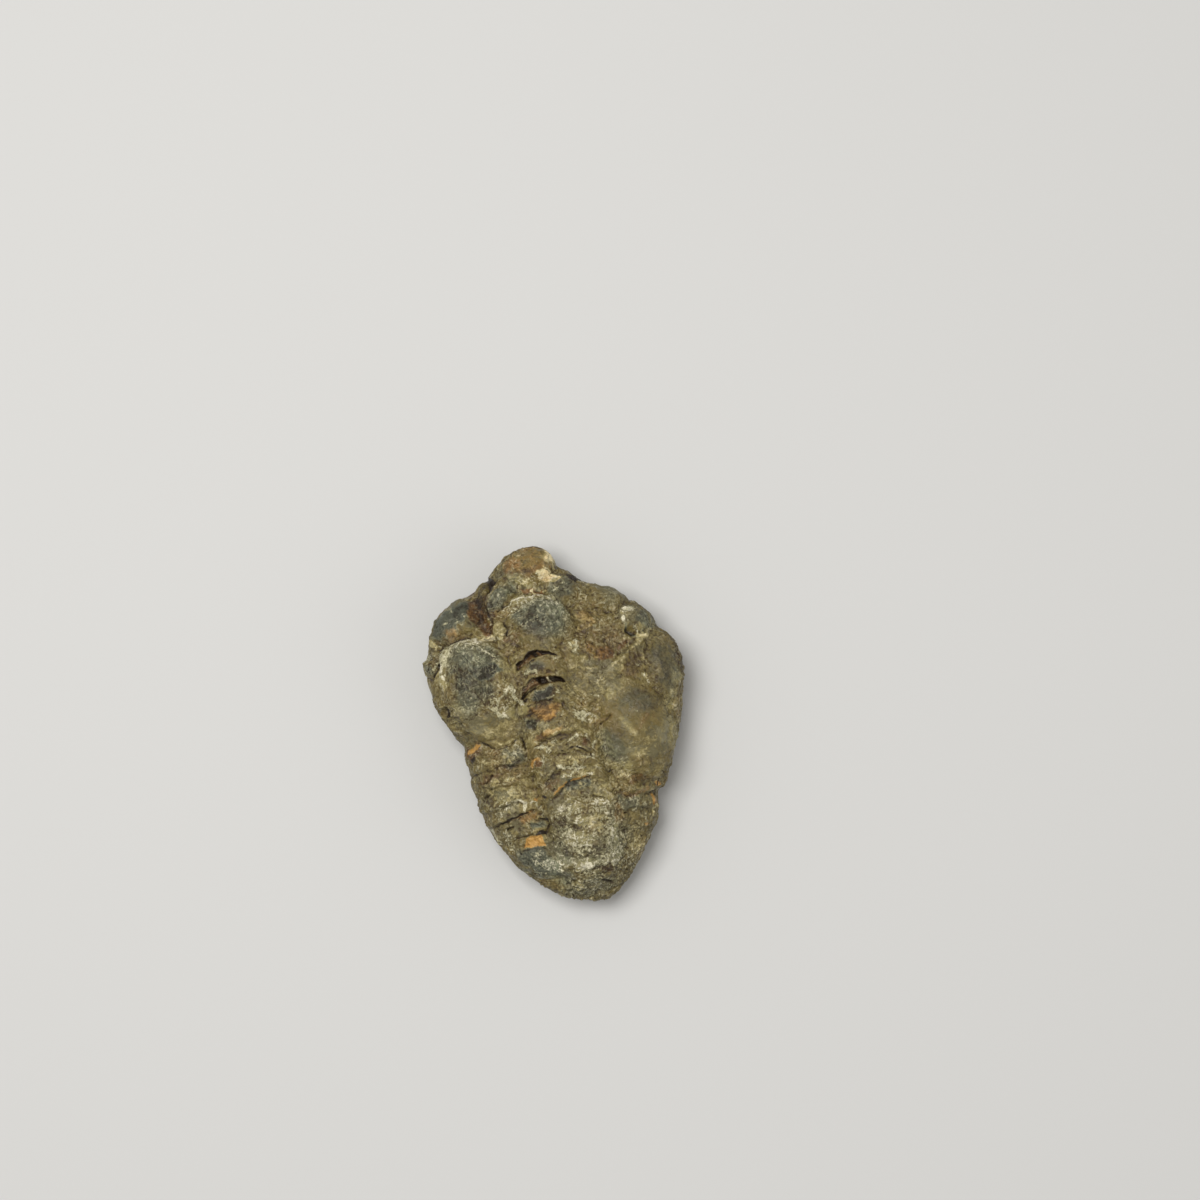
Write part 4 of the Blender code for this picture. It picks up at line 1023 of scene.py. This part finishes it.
def new_stone():
    """The whole stone as one closed mesh, which still carries where its points lay."""
    mesh = bpy.data.meshes.new("weathered_trilobite")
    sphere = bmesh.new()
    bmesh.ops.create_icosphere(sphere, subdivisions=SPHERE_LEVEL, radius=1.0)
    sphere.to_mesh(mesh)
    sphere.free()
    laid_out, place = shape_stone(mesh)
    stone = bpy.data.objects.new("weathered_trilobite", mesh)
    bpy.context.scene.collection.objects.link(stone)
    store(mesh, "laid_out", laid_out)
    store(mesh, "place", place)
    fewer_triangles(stone, TRIANGLES_KEPT)
    stone.data.shade_smooth()
    return stone


# ---------------------------------------------------------------- where each mineral lies

def patch(points, form):
    """A patch's strength inside its oval, half of it at the oval's edge and 0 outside."""
    across, along = across_and_along(points, *form[:5])
    strength = form[5]
    return strength * smooth((1.4 - np.hypot(across, along)) / 0.8)


def streak(points, path, width, strength):
    """A streak's strength along its path, half of it at the streak's edge and 0 outside."""
    distance, _, run = path_distance(points, path)
    taper = 0.35 + 0.65 * smooth(np.minimum(run, 1.0 - run) / 0.15)
    return strength * smooth((1.6 - 2.0 * distance / (width * taper)) / 1.2)


def mineral(points, ragged, patches, streaks=()):
    """The strongest of a mineral's patches and streaks at each point."""
    amount = np.zeros(len(points))
    for form in patches.values():
        amount = np.maximum(amount, patch(ragged, form))
    for path, width, strength in dict(streaks).values():
        amount = np.maximum(amount, streak(points, path, width, strength))
    return amount


def soot_and_shade(points, ragged):
    """Dark filling in the gaps, the cracks and the hollows: partly dark dirt and partly painted shade,
    which fills the open gaps and darkens a crack the deeper it is.
    """
    amount = mineral(points, ragged, SOOT_AND_SHADE_PATCHES)
    uneven = 0.75 + 0.9 * weathering(points, 2.0, 23.0)
    # Painted shade with dirt: a crack is filled darker the deeper it is.
    for path, width, depth in CRACKS.values():
        amount = np.maximum(amount, 1.4 * depth * uneven * furrow(points, path, width))
    # Painted shade: the open gaps are filled dark inside.
    for outline, _ in GAPS.values():
        amount = np.maximum(amount, 0.6 * smooth(depth_inside(points, outline) / 0.22))
    for path, width, _ in SLIVERS.values():
        amount *= 1.0 - 0.85 * smooth(1.6 * furrow(points, path, width))
    for path, width, strength in SOOT_AND_SHADE_STREAKS.values():
        amount = np.maximum(amount, np.clip(uneven, 0.5, 1.2) * streak(points, path, width, strength))
    return amount


def neighbour_mean(ends, others, values):
    """Mean of each point's neighbours. Every edge is in ends and others twice, once each way."""
    count = np.bincount(ends, minlength=len(values))
    columns = []
    for column in values.T:
        total = np.bincount(ends, column[others], len(values))
        columns.append(total / np.maximum(count, 1))
    return np.column_stack(columns)


def hollowness(mesh, reach):
    """How far each point lies below the mean of the points round it, in mm: above 0 in a hollow."""
    edges = np.empty(len(mesh.edges) * 2, np.int32)
    mesh.edges.foreach_get("vertices", edges)
    ends = np.concatenate((edges[0::2], edges[1::2]))
    others = np.concatenate((edges[1::2], edges[0::2]))
    points = rows_of(mesh.vertices, "co") / MM
    around = points
    for _ in range(reach):
        around = neighbour_mean(ends, others, around)
    return np.einsum("ij,ij->i", around - points, rows_of(mesh.vertex_normals, "vector"))


def mark_minerals(stone):
    """Writes how much of each mineral lies at each point, with the dark filling, partly painted shade,
    and the broad paler and darker patches, partly painted light and shade, for the material to read.
    """
    mesh = stone.data
    points = rows_of(mesh.attributes["laid_out"].data, "vector")
    place = rows_of(mesh.attributes["place"].data, "vector")
    ragged = points.copy()
    ragged[:, 0] += STAIN_WANDER * weathering(points, 2.6, 21.0)
    ragged[:, 1] += STAIN_WANDER * weathering(points, 2.6, 22.0)
    flank = place[:, 2] + FLANK_WANDER * weathering(points, 2.4, 24.0)
    above = smooth((flank - STAIN_FOOT) / STAIN_FADE)
    frost = mineral(points, ragged, FROST_PATCHES, FROST_STREAKS)
    for x, y, radius in SPAR_DOTS_AND_GLINTS:
        frost = np.maximum(frost, patch(points, (x, y, radius, radius, 0, 1.0)))
    rust = mineral(points, ragged, RUST_PATCHES)
    for outline, _ in GAPS.values():
        rust = np.maximum(rust, 1.2 * smooth(depth_inside(points, outline) / 0.3))
    ochre = mineral(points, ragged, OCHRE_PATCHES, OCHRE_STREAKS)
    ochre = np.maximum(ochre, 1.6 * smooth(depth_inside(points, CHIP) / 0.2))
    paler = mineral(points, ragged, WEAR_AND_PAINTED_LIGHT_AREAS)
    darker = mineral(points, ragged, DIRT_AND_PAINTED_SHADE_AREAS)
    for name, amount in (
        ("slate", mineral(points, ragged, SLATE_PATCHES)),
        ("frost", frost),
        ("rust", rust),
        ("wear_dirt_light_and_shade", paler - darker),
        ("ochre", ochre),
        ("cream", mineral(points, ragged, CREAM_PATCHES, CREAM_STREAKS)),
        ("soot_and_shade", soot_and_shade(points, ragged)),
        ("smooth_shell", mineral(points, ragged, SMOOTH_AREAS)),
    ):
        store(mesh, name, above * amount)
    # By the first of these the material paints shade into the fine hollows and lightens the sharp edges.
    # By the second it darkens the wide hollows.
    store(mesh, "fine_hollow", np.clip(hollowness(mesh, FINE_HOLLOW_REACH), -0.04, 0.2))
    store(mesh, "wide_hollow", hollowness(mesh, WIDE_HOLLOW_REACH))
    # A band is 0.6 mm across and runs for several millimetres along its ring or rib.
    bands = (place[:, 0] / 3.0, growth_lines(place) / 0.6, place[:, 2] / 3.0)
    store(mesh, "bands", np.column_stack(bands))


# ---------------------------------------------------------------- materials

# What the shell and its stains are coloured by: each one's dark, middle and light.
MINERAL_COLOURS = {
    "grey_calcite": ("#3a2b15", "#646044", "#8d896b"),
    "olive_calcite": ("#3c2d12", "#6b6138", "#979063"),
    "tan_calcite": ("#3f2b12", "#705d36", "#998b5b"),
    "slate": ("#27261b", "#515649", "#80866f"),
    "rust": ("#2f2114", "#594226", "#80633a"),
    "ochre": ("#7e5e2a", "#b68f4c", "#d6b06c"),
    "cream": ("#7b7345", "#aba374", "#e8e1b9"),
    "spar": ("#8f8d70", "#c4c4a4", "#eeeedb"),
}
HAIRLINE_DIRT = "#2a2014"
# The colour that the wide hollows are darkened toward.
HOLLOW_DARKENING = "#2e2214"
# The dark filling of gaps, cracks and hollows: partly dirt, partly painted shade.
SOOT_AND_SHADE_COLOUR = "#20160b"

# Each pattern's width in millimetres, and its detail, roughness and distortion. The drift and
# the mottle change the tint and tone of whole plates, the broken, crumb and sugar are the
# shell's own grain, and the banding runs along the rings. The sugar of the real shell is finer,
# and is drawn as coarse as it needs to be to show.
GRAIN_PATTERNS = {
    "drift": (5.5, 2.0, 0.5, 0.2),
    "mottle": (2.2, 4.0, 0.6, 0.2),
    "broken": (0.8, 4.0, 0.6, 0.2),
    "crumb": (0.45, 2.0, 0.5, 0.0),
    "sugar": (0.3, 2.0, 0.6, 0.0),
    "curls": (1.05, 1.0, 0.4, 0.8),
    "hairlines": (2.1, 4.0, 0.6, 1.0),
    "banding": (1.0, 4.0, 0.6, 0.2),
}
CLEAVED_FACET_WIDTH = 0.8
SPAR_GRAIN_WIDTH = 0.5

# Calcite bends light by 1.49 to 1.66, and its weathered skin lies at the low end.
CALCITE_IOR = 1.49
BUMP_HEIGHT = 0.4 * MM
BUMP_STRENGTH = 0.9


def linear(hex_code):
    """An sRGB hex colour as linear RGBA."""
    channels = [int(hex_code[start:start + 2], 16) / 255 for start in (1, 3, 5)]
    return [c / 12.92 if c <= 0.04045 else ((c + 0.055) / 1.055) ** 2.4 for c in channels] + [1.0]


def add_node(material, kind, inputs=(), out=0, **settings):
    """Adds a node with its settings and links, and returns one of its sockets."""
    tree = material.node_tree
    node = tree.nodes.new("ShaderNode" + kind)
    for name, value in settings.items():
        setattr(node, name, value)
    for socket, value in dict(inputs).items():
        if isinstance(value, bpy.types.NodeSocket):
            tree.links.new(value, node.inputs[socket])
        else:
            node.inputs[socket].default_value = value
    return node.outputs[out]


def calcite_grain(material):
    """The patterns that calcite breaks and weathers in, each from a real size in millimetres."""
    place = add_node(material, "Attribute", out="Vector", attribute_name="place")
    bands = add_node(material, "Attribute", out="Vector", attribute_name="bands")
    grain = {}
    for name, (width, detail, roughness, distortion) in GRAIN_PATTERNS.items():
        settings = {"Vector": bands if name == "banding" else place, "Scale": 1.0 / width}
        settings.update({"Detail": detail, "Roughness": roughness, "Distortion": distortion})
        grain[name] = add_node(material, "TexNoise", settings)
    bent = add_node(material, "VectorMath", {0: place, 1: grain["broken"]}, operation="ADD")
    for name, width, out in (
        ("facet", CLEAVED_FACET_WIDTH, "Color"),
        ("from_grain_middle", SPAR_GRAIN_WIDTH, "Distance"),
        ("each_grain", SPAR_GRAIN_WIDTH, "Color"),
    ):
        settings = {"Vector": bent, "Scale": 1.0 / width}
        grain[name] = add_node(material, "TexVoronoi", settings, out=out)
    return grain


def stone_marks(material):
    """What mark_minerals wrote at each point, by name."""
    names = ("slate", "frost", "rust", "wear_dirt_light_and_shade", "ochre", "cream", "soot_and_shade", "smooth_shell")
    names += ("fine_hollow", "wide_hollow")
    return {name: add_node(material, "Attribute", out="Fac", attribute_name=name) for name in names}


def grain_sum(material, start, weights, grain):
    """A start value with each of the grain's patterns added by its weight, about its middle."""
    total = start - 0.5 * sum(weights.values())
    for name, weight in weights.items():
        weighed = {0: grain[name], 1: weight, 2: total}
        total = add_node(material, "Math", weighed, operation="MULTIPLY_ADD")
    return total


def frayed_line(material, pattern, width, grain):
    """1 along the level line through the middle of a pattern, so in loops and curls, else 0."""
    off = add_node(material, "Math", {0: pattern, 1: 0.5}, operation="SUBTRACT")
    off = add_node(material, "Math", {0: off}, operation="ABSOLUTE")
    fray = grain_sum(material, 0.0, {"broken": 2.2 * width}, grain)
    off = add_node(material, "Math", {0: off, 1: fray}, operation="ADD")
    fade = {"Value": off, "From Min": width, "From Max": 0.3 * width}
    return add_node(material, "MapRange", fade, interpolation_type="SMOOTHSTEP")


def shaded(material, tone, name):
    """A mineral's colour from its dark through its middle to its light, as the tone goes 0 to 1."""
    dark, middle, light = map(linear, MINERAL_COLOURS[name])
    lower = {"Value": tone, "From Min": 0.1, "From Max": 0.5}
    lower = add_node(material, "MapRange", lower, interpolation_type="SMOOTHSTEP")
    upper = {"Value": tone, "From Min": 0.5, "From Max": 0.95}
    upper = add_node(material, "MapRange", upper, interpolation_type="SMOOTHSTEP")
    colour = {0: lower, 6: dark, 7: middle}
    colour = add_node(material, "Mix", colour, out=2, data_type="RGBA")
    return add_node(material, "Mix", {0: upper, 6: colour, 7: light}, out=2, data_type="RGBA")


def stained(material, below, above, marked, raggedness, soft, grain):
    """Lays a mineral's colour over what is below, where the stone is marked with it."""
    weights = {"broken": raggedness, "sugar": 0.4 * raggedness, "mottle": 0.5 * raggedness}
    edge = grain_sum(material, -0.5, weights, grain)
    shows = add_node(material, "Math", {0: marked, 1: edge}, operation="ADD")
    shows = {"Value": shows, "From Min": -soft, "From Max": soft}
    shows = add_node(material, "MapRange", shows, interpolation_type="SMOOTHSTEP")
    return add_node(material, "Mix", {0: shows, 6: below, 7: above}, out=2, data_type="RGBA")


def frosted(material, below, tone, marks, grain):
    """Pale spar over the colour, and where it lies: curls, and packed grains in the frost."""
    frost = marks["frost"]
    curl = frayed_line(material, grain["curls"], 0.085, grain)
    broken_off = {"Value": grain["crumb"], "From Min": 0.42, "From Max": 0.54}
    broken_off = add_node(material, "MapRange", broken_off, interpolation_type="SMOOTHSTEP")
    curl = add_node(material, "Math", {0: curl, 1: broken_off}, operation="MULTIPLY")
    rough = {0: marks["smooth_shell"], 1: -0.2, 2: grain["mottle"]}
    rough = add_node(material, "Math", rough, operation="MULTIPLY_ADD")
    rough = add_node(material, "MapRange", {"Value": rough, "From Min": 0.4, "From Max": 0.6})
    faint = add_node(material, "Math", {0: rough, 1: 0.4, 2: frost}, operation="MULTIPLY_ADD")
    curl = add_node(material, "Math", {0: curl, 1: faint}, operation="MULTIPLY")
    chosen = {0: frost, 1: 0.85, 2: grain["each_grain"]}
    chosen = add_node(material, "Math", chosen, operation="MULTIPLY_ADD")
    chosen = {"Value": chosen, "From Min": 0.78, "From Max": 1.05}
    chosen = add_node(material, "MapRange", chosen, interpolation_type="SMOOTHSTEP")
    rounded = {"Value": grain["from_grain_middle"], "From Min": 0.46, "From Max": 0.14}
    rounded = add_node(material, "MapRange", rounded, interpolation_type="SMOOTHSTEP")
    grains = add_node(material, "Math", {0: chosen, 1: rounded}, operation="MULTIPLY")
    shows = add_node(material, "Math", {0: curl, 1: grains}, operation="MAXIMUM")
    caked = {0: grain["broken"], 1: 1.4, 2: frost}
    caked = add_node(material, "Math", caked, operation="MULTIPLY_ADD")
    caked = {"Value": caked, "From Min": 1.5, "From Max": 1.85, "To Max": 0.9}
    caked = add_node(material, "MapRange", caked, interpolation_type="SMOOTHSTEP")
    shows = add_node(material, "Math", {0: shows, 1: caked}, operation="MAXIMUM")
    worn = {"Value": grain["sugar"], "From Min": 0.3, "From Max": 0.55, "To Min": 0.45}
    worn = add_node(material, "MapRange", worn)
    shows = add_node(material, "Math", {0: shows, 1: worn}, operation="MULTIPLY", use_clamp=True)
    frosted_over = {0: shows, 6: below, 7: shaded(material, tone, "spar")}
    return add_node(material, "Mix", frosted_over, out=2, data_type="RGBA"), shows


def weathered_calcite():
    """Calcite shell weathered in a limestone nodule, worn by sand and handling.

    Calcite breaks on small flat faces, so the eye gets a broken, slightly waxy surface with
    pale glints on its edges, dark dirt in its cracks, and iron stains from ochre to rust.
    Part of the paleness of the edges is painted highlight, and part of the darkness of the
    creases, gaps and cracks is painted shade.
    """
    material = bpy.data.materials.new("weathered_calcite")
    material.use_nodes = True
    surface = material.node_tree.nodes["Principled BSDF"]
    grain = calcite_grain(material)
    marks = stone_marks(material)

    weights = {"mottle": 0.45, "broken": 0.7, "crumb": 0.72, "sugar": 0.3, "banding": 0.3, "facet": 0.2}
    tone = grain_sum(material, 0.5, weights, grain)
    # Painted shade: the tone is darker in fine creases and hollows. Sharp convex edges come out paler,
    # partly as edge wear and partly as painted highlight.
    darkened = {0: marks["fine_hollow"], 1: -2.6, 2: tone}
    tone = add_node(material, "Math", darkened, operation="MULTIPLY_ADD")
    calm = add_node(material, "Math", {0: marks["smooth_shell"], 1: 0.65}, operation="MULTIPLY")
    tone = add_node(material, "Mix", {0: calm, 2: tone, 3: 0.52})
    # The broad paler and darker patches shift the tone: partly wear and dirt, partly painted light and
    # painted shade.
    tone = add_node(material, "Math", {0: marks["wear_dirt_light_and_shade"], 1: 0.5, 2: tone}, operation="MULTIPLY_ADD")
    tint = grain_sum(material, 0.5, {"drift": 1.4, "mottle": 1.0, "broken": 0.7, "crumb": 0.7}, grain)
    colour = shaded(material, tone, "grey_calcite")
    for name, start, full in (("olive_calcite", 0.2, 0.5), ("tan_calcite", 0.55, 1.0)):
        share = {"Value": tint, "From Min": start, "From Max": full}
        share = add_node(material, "MapRange", share, interpolation_type="SMOOTHSTEP")
        colour = {0: share, 6: colour, 7: shaded(material, tone, name)}
        colour = add_node(material, "Mix", colour, out=2, data_type="RGBA")

    # Slate is darker the more of it there is.
    deep = {0: marks["slate"], 1: -0.3, 2: 0.24}
    deep = add_node(material, "Math", deep, operation="MULTIPLY_ADD")
    deep = add_node(material, "Math", {0: deep, 1: tone}, operation="ADD")
    for name, its_tone, raggedness, soft in (
        ("slate", deep, 0.8, 0.45),
        ("rust", tone, 0.8, 0.35),
        ("cream", tone, 1.1, 0.25),
    ):
        above = shaded(material, its_tone, name)
        colour = stained(material, colour, above, marks[name], raggedness, soft, grain)
    colour, spar = frosted(material, colour, tone, marks, grain)

    # Dirt lies in hairline cracks, the wide hollows are darkened, and ochre and the dark filling, partly
    # dirt and partly painted shade, lie over it.
    hairline = frayed_line(material, grain["hairlines"], 0.024, grain)
    sparse = {"Value": grain["broken"], "From Min": 0.45, "From Max": 0.6, "To Max": 0.7}
    sparse = add_node(material, "MapRange", sparse)
    hairline = add_node(material, "Math", {0: hairline, 1: sparse}, operation="MULTIPLY")
    darker_in_wide_hollows = {0: grain["broken"], 1: 0.12, 2: marks["wide_hollow"]}
    darker_in_wide_hollows = add_node(material, "Math", darker_in_wide_hollows, operation="MULTIPLY_ADD")
    darker_in_wide_hollows = {"Value": darker_in_wide_hollows, "From Min": 0.14, "From Max": 0.4, "To Max": 0.55}
    darker_in_wide_hollows = add_node(material, "MapRange", darker_in_wide_hollows, interpolation_type="SMOOTHSTEP")
    for share, dirt in ((hairline, HAIRLINE_DIRT), (darker_in_wide_hollows, HOLLOW_DARKENING)):
        colour = {0: share, 6: colour, 7: linear(dirt)}
        colour = add_node(material, "Mix", colour, out=2, data_type="RGBA")
    for name, above, raggedness, soft in (
        ("ochre", shaded(material, tone, "ochre"), 0.5, 0.4),
        ("soot_and_shade", linear(SOOT_AND_SHADE_COLOUR), 0.8, 0.3),
    ):
        colour = stained(material, colour, above, marks[name], raggedness, soft, grain)

    weights = {"mottle": 0.5, "broken": 0.8, "crumb": 0.3, "sugar": 0.12, "banding": 0.4, "facet": 0.25}
    height = grain_sum(material, 0.0, weights, grain)
    height = add_node(material, "Math", {0: spar, 1: 0.3, 2: height}, operation="MULTIPLY_ADD")
    bump = {"Height": height, "Distance": BUMP_HEIGHT, "Strength": BUMP_STRENGTH}
    normal = add_node(material, "Bump", bump)
    waxy = grain_sum(material, 0.46, {"sugar": -0.3, "mottle": -0.4, "facet": -0.3}, grain)
    waxy = add_node(material, "Math", {0: spar, 1: -0.12, 2: waxy}, operation="MULTIPLY_ADD")
    for socket, value in (("Base Color", colour), ("Roughness", waxy), ("Normal", normal)):
        material.node_tree.links.new(value, surface.inputs[socket])
    surface.inputs["IOR"].default_value = CALCITE_IOR
    return material


# ---------------------------------------------------------------- floor, light, camera

FLOOR_HALF_WIDTH = 1.5
FLOOR_DROP = 0.05 * MM
LIGHTS_FACE = (0.0, 0.0, 8 * MM)

# The camera looks straight down. It stands off to one side of the stone and is turned, so that
# the stone lies left of and below the middle of the frame and leans to the left.
FRAME_WIDTH_MM = 187.5
FRAME_MIDDLE = (8.9, 18.1)
CAMERA_HEIGHT_MM = 1000.0
STONE_LEAN = 9.93
SENSOR_MM = 36.0


def pale_floor():
    """Pale matt card, so the eye gets a soft shadow and nothing else beside the stone."""
    mesh = bpy.data.meshes.new("floor")
    sheet = bmesh.new()
    bmesh.ops.create_grid(sheet, x_segments=1, y_segments=1, size=FLOOR_HALF_WIDTH)
    sheet.to_mesh(mesh)
    sheet.free()
    floor = bpy.data.objects.new("floor", mesh)
    floor.location.z = -FLOOR_DROP
    bpy.context.scene.collection.objects.link(floor)
    material = bpy.data.materials.new("pale_card")
    material.use_nodes = True
    surface = material.node_tree.nodes["Principled BSDF"]
    surface.inputs["Base Color"].default_value = linear("#ccd3db")
    surface.inputs["Roughness"].default_value = 0.9
    mesh.materials.append(material)


def soft_box(name, place, size, power):
    """A square studio light that faces the stone."""
    lamp = bpy.data.lights.new(name, "AREA")
    lamp.size = size
    lamp.energy = power
    lamp.color = linear("#fff6ea")[:3]
    light = bpy.data.objects.new(name, lamp)
    light.location = place
    aim = Vector(LIGHTS_FACE) - Vector(place)
    light.rotation_euler = aim.to_track_quat("-Z", "Y").to_euler()
    bpy.context.scene.collection.objects.link(light)


def studio_light():
    """Even warm light from all round, a main light from the head's side and a weak fill."""
    world = bpy.data.worlds.new("studio")
    world.use_nodes = True
    backdrop = world.node_tree.nodes["Background"]
    backdrop.inputs["Color"].default_value = linear("#fff4e6")
    backdrop.inputs["Strength"].default_value = 0.42
    bpy.context.scene.world = world
    soft_box("main_light", (-0.13, 0.15, 0.64), 0.30, 3.4)
    soft_box("fill_light", (0.45, -0.25, 0.40), 0.40, 0.4)


def overhead_camera():
    """A long lens straight over the stone, so that little of its flanks shows."""
    data = bpy.data.cameras.new("overhead")
    data.sensor_width = SENSOR_MM
    data.lens = SENSOR_MM * (CAMERA_HEIGHT_MM - RIM_HEIGHT) / FRAME_WIDTH_MM
    camera = bpy.data.objects.new("overhead", data)
    camera.location = Vector((*FRAME_MIDDLE, CAMERA_HEIGHT_MM)) * MM
    camera.rotation_euler = (0.0, 0.0, math.radians(-STONE_LEAN))
    bpy.context.scene.collection.objects.link(camera)
    bpy.context.scene.camera = camera


stone = new_stone()
mark_minerals(stone)
stone.data.materials.clear()
stone.data.materials.append(weathered_calcite())
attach(stone, "root")
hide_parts("trilobite_fossil")
pale_floor()
studio_light()
overhead_camera()
bpy.context.scene.view_settings.view_transform = "Standard"
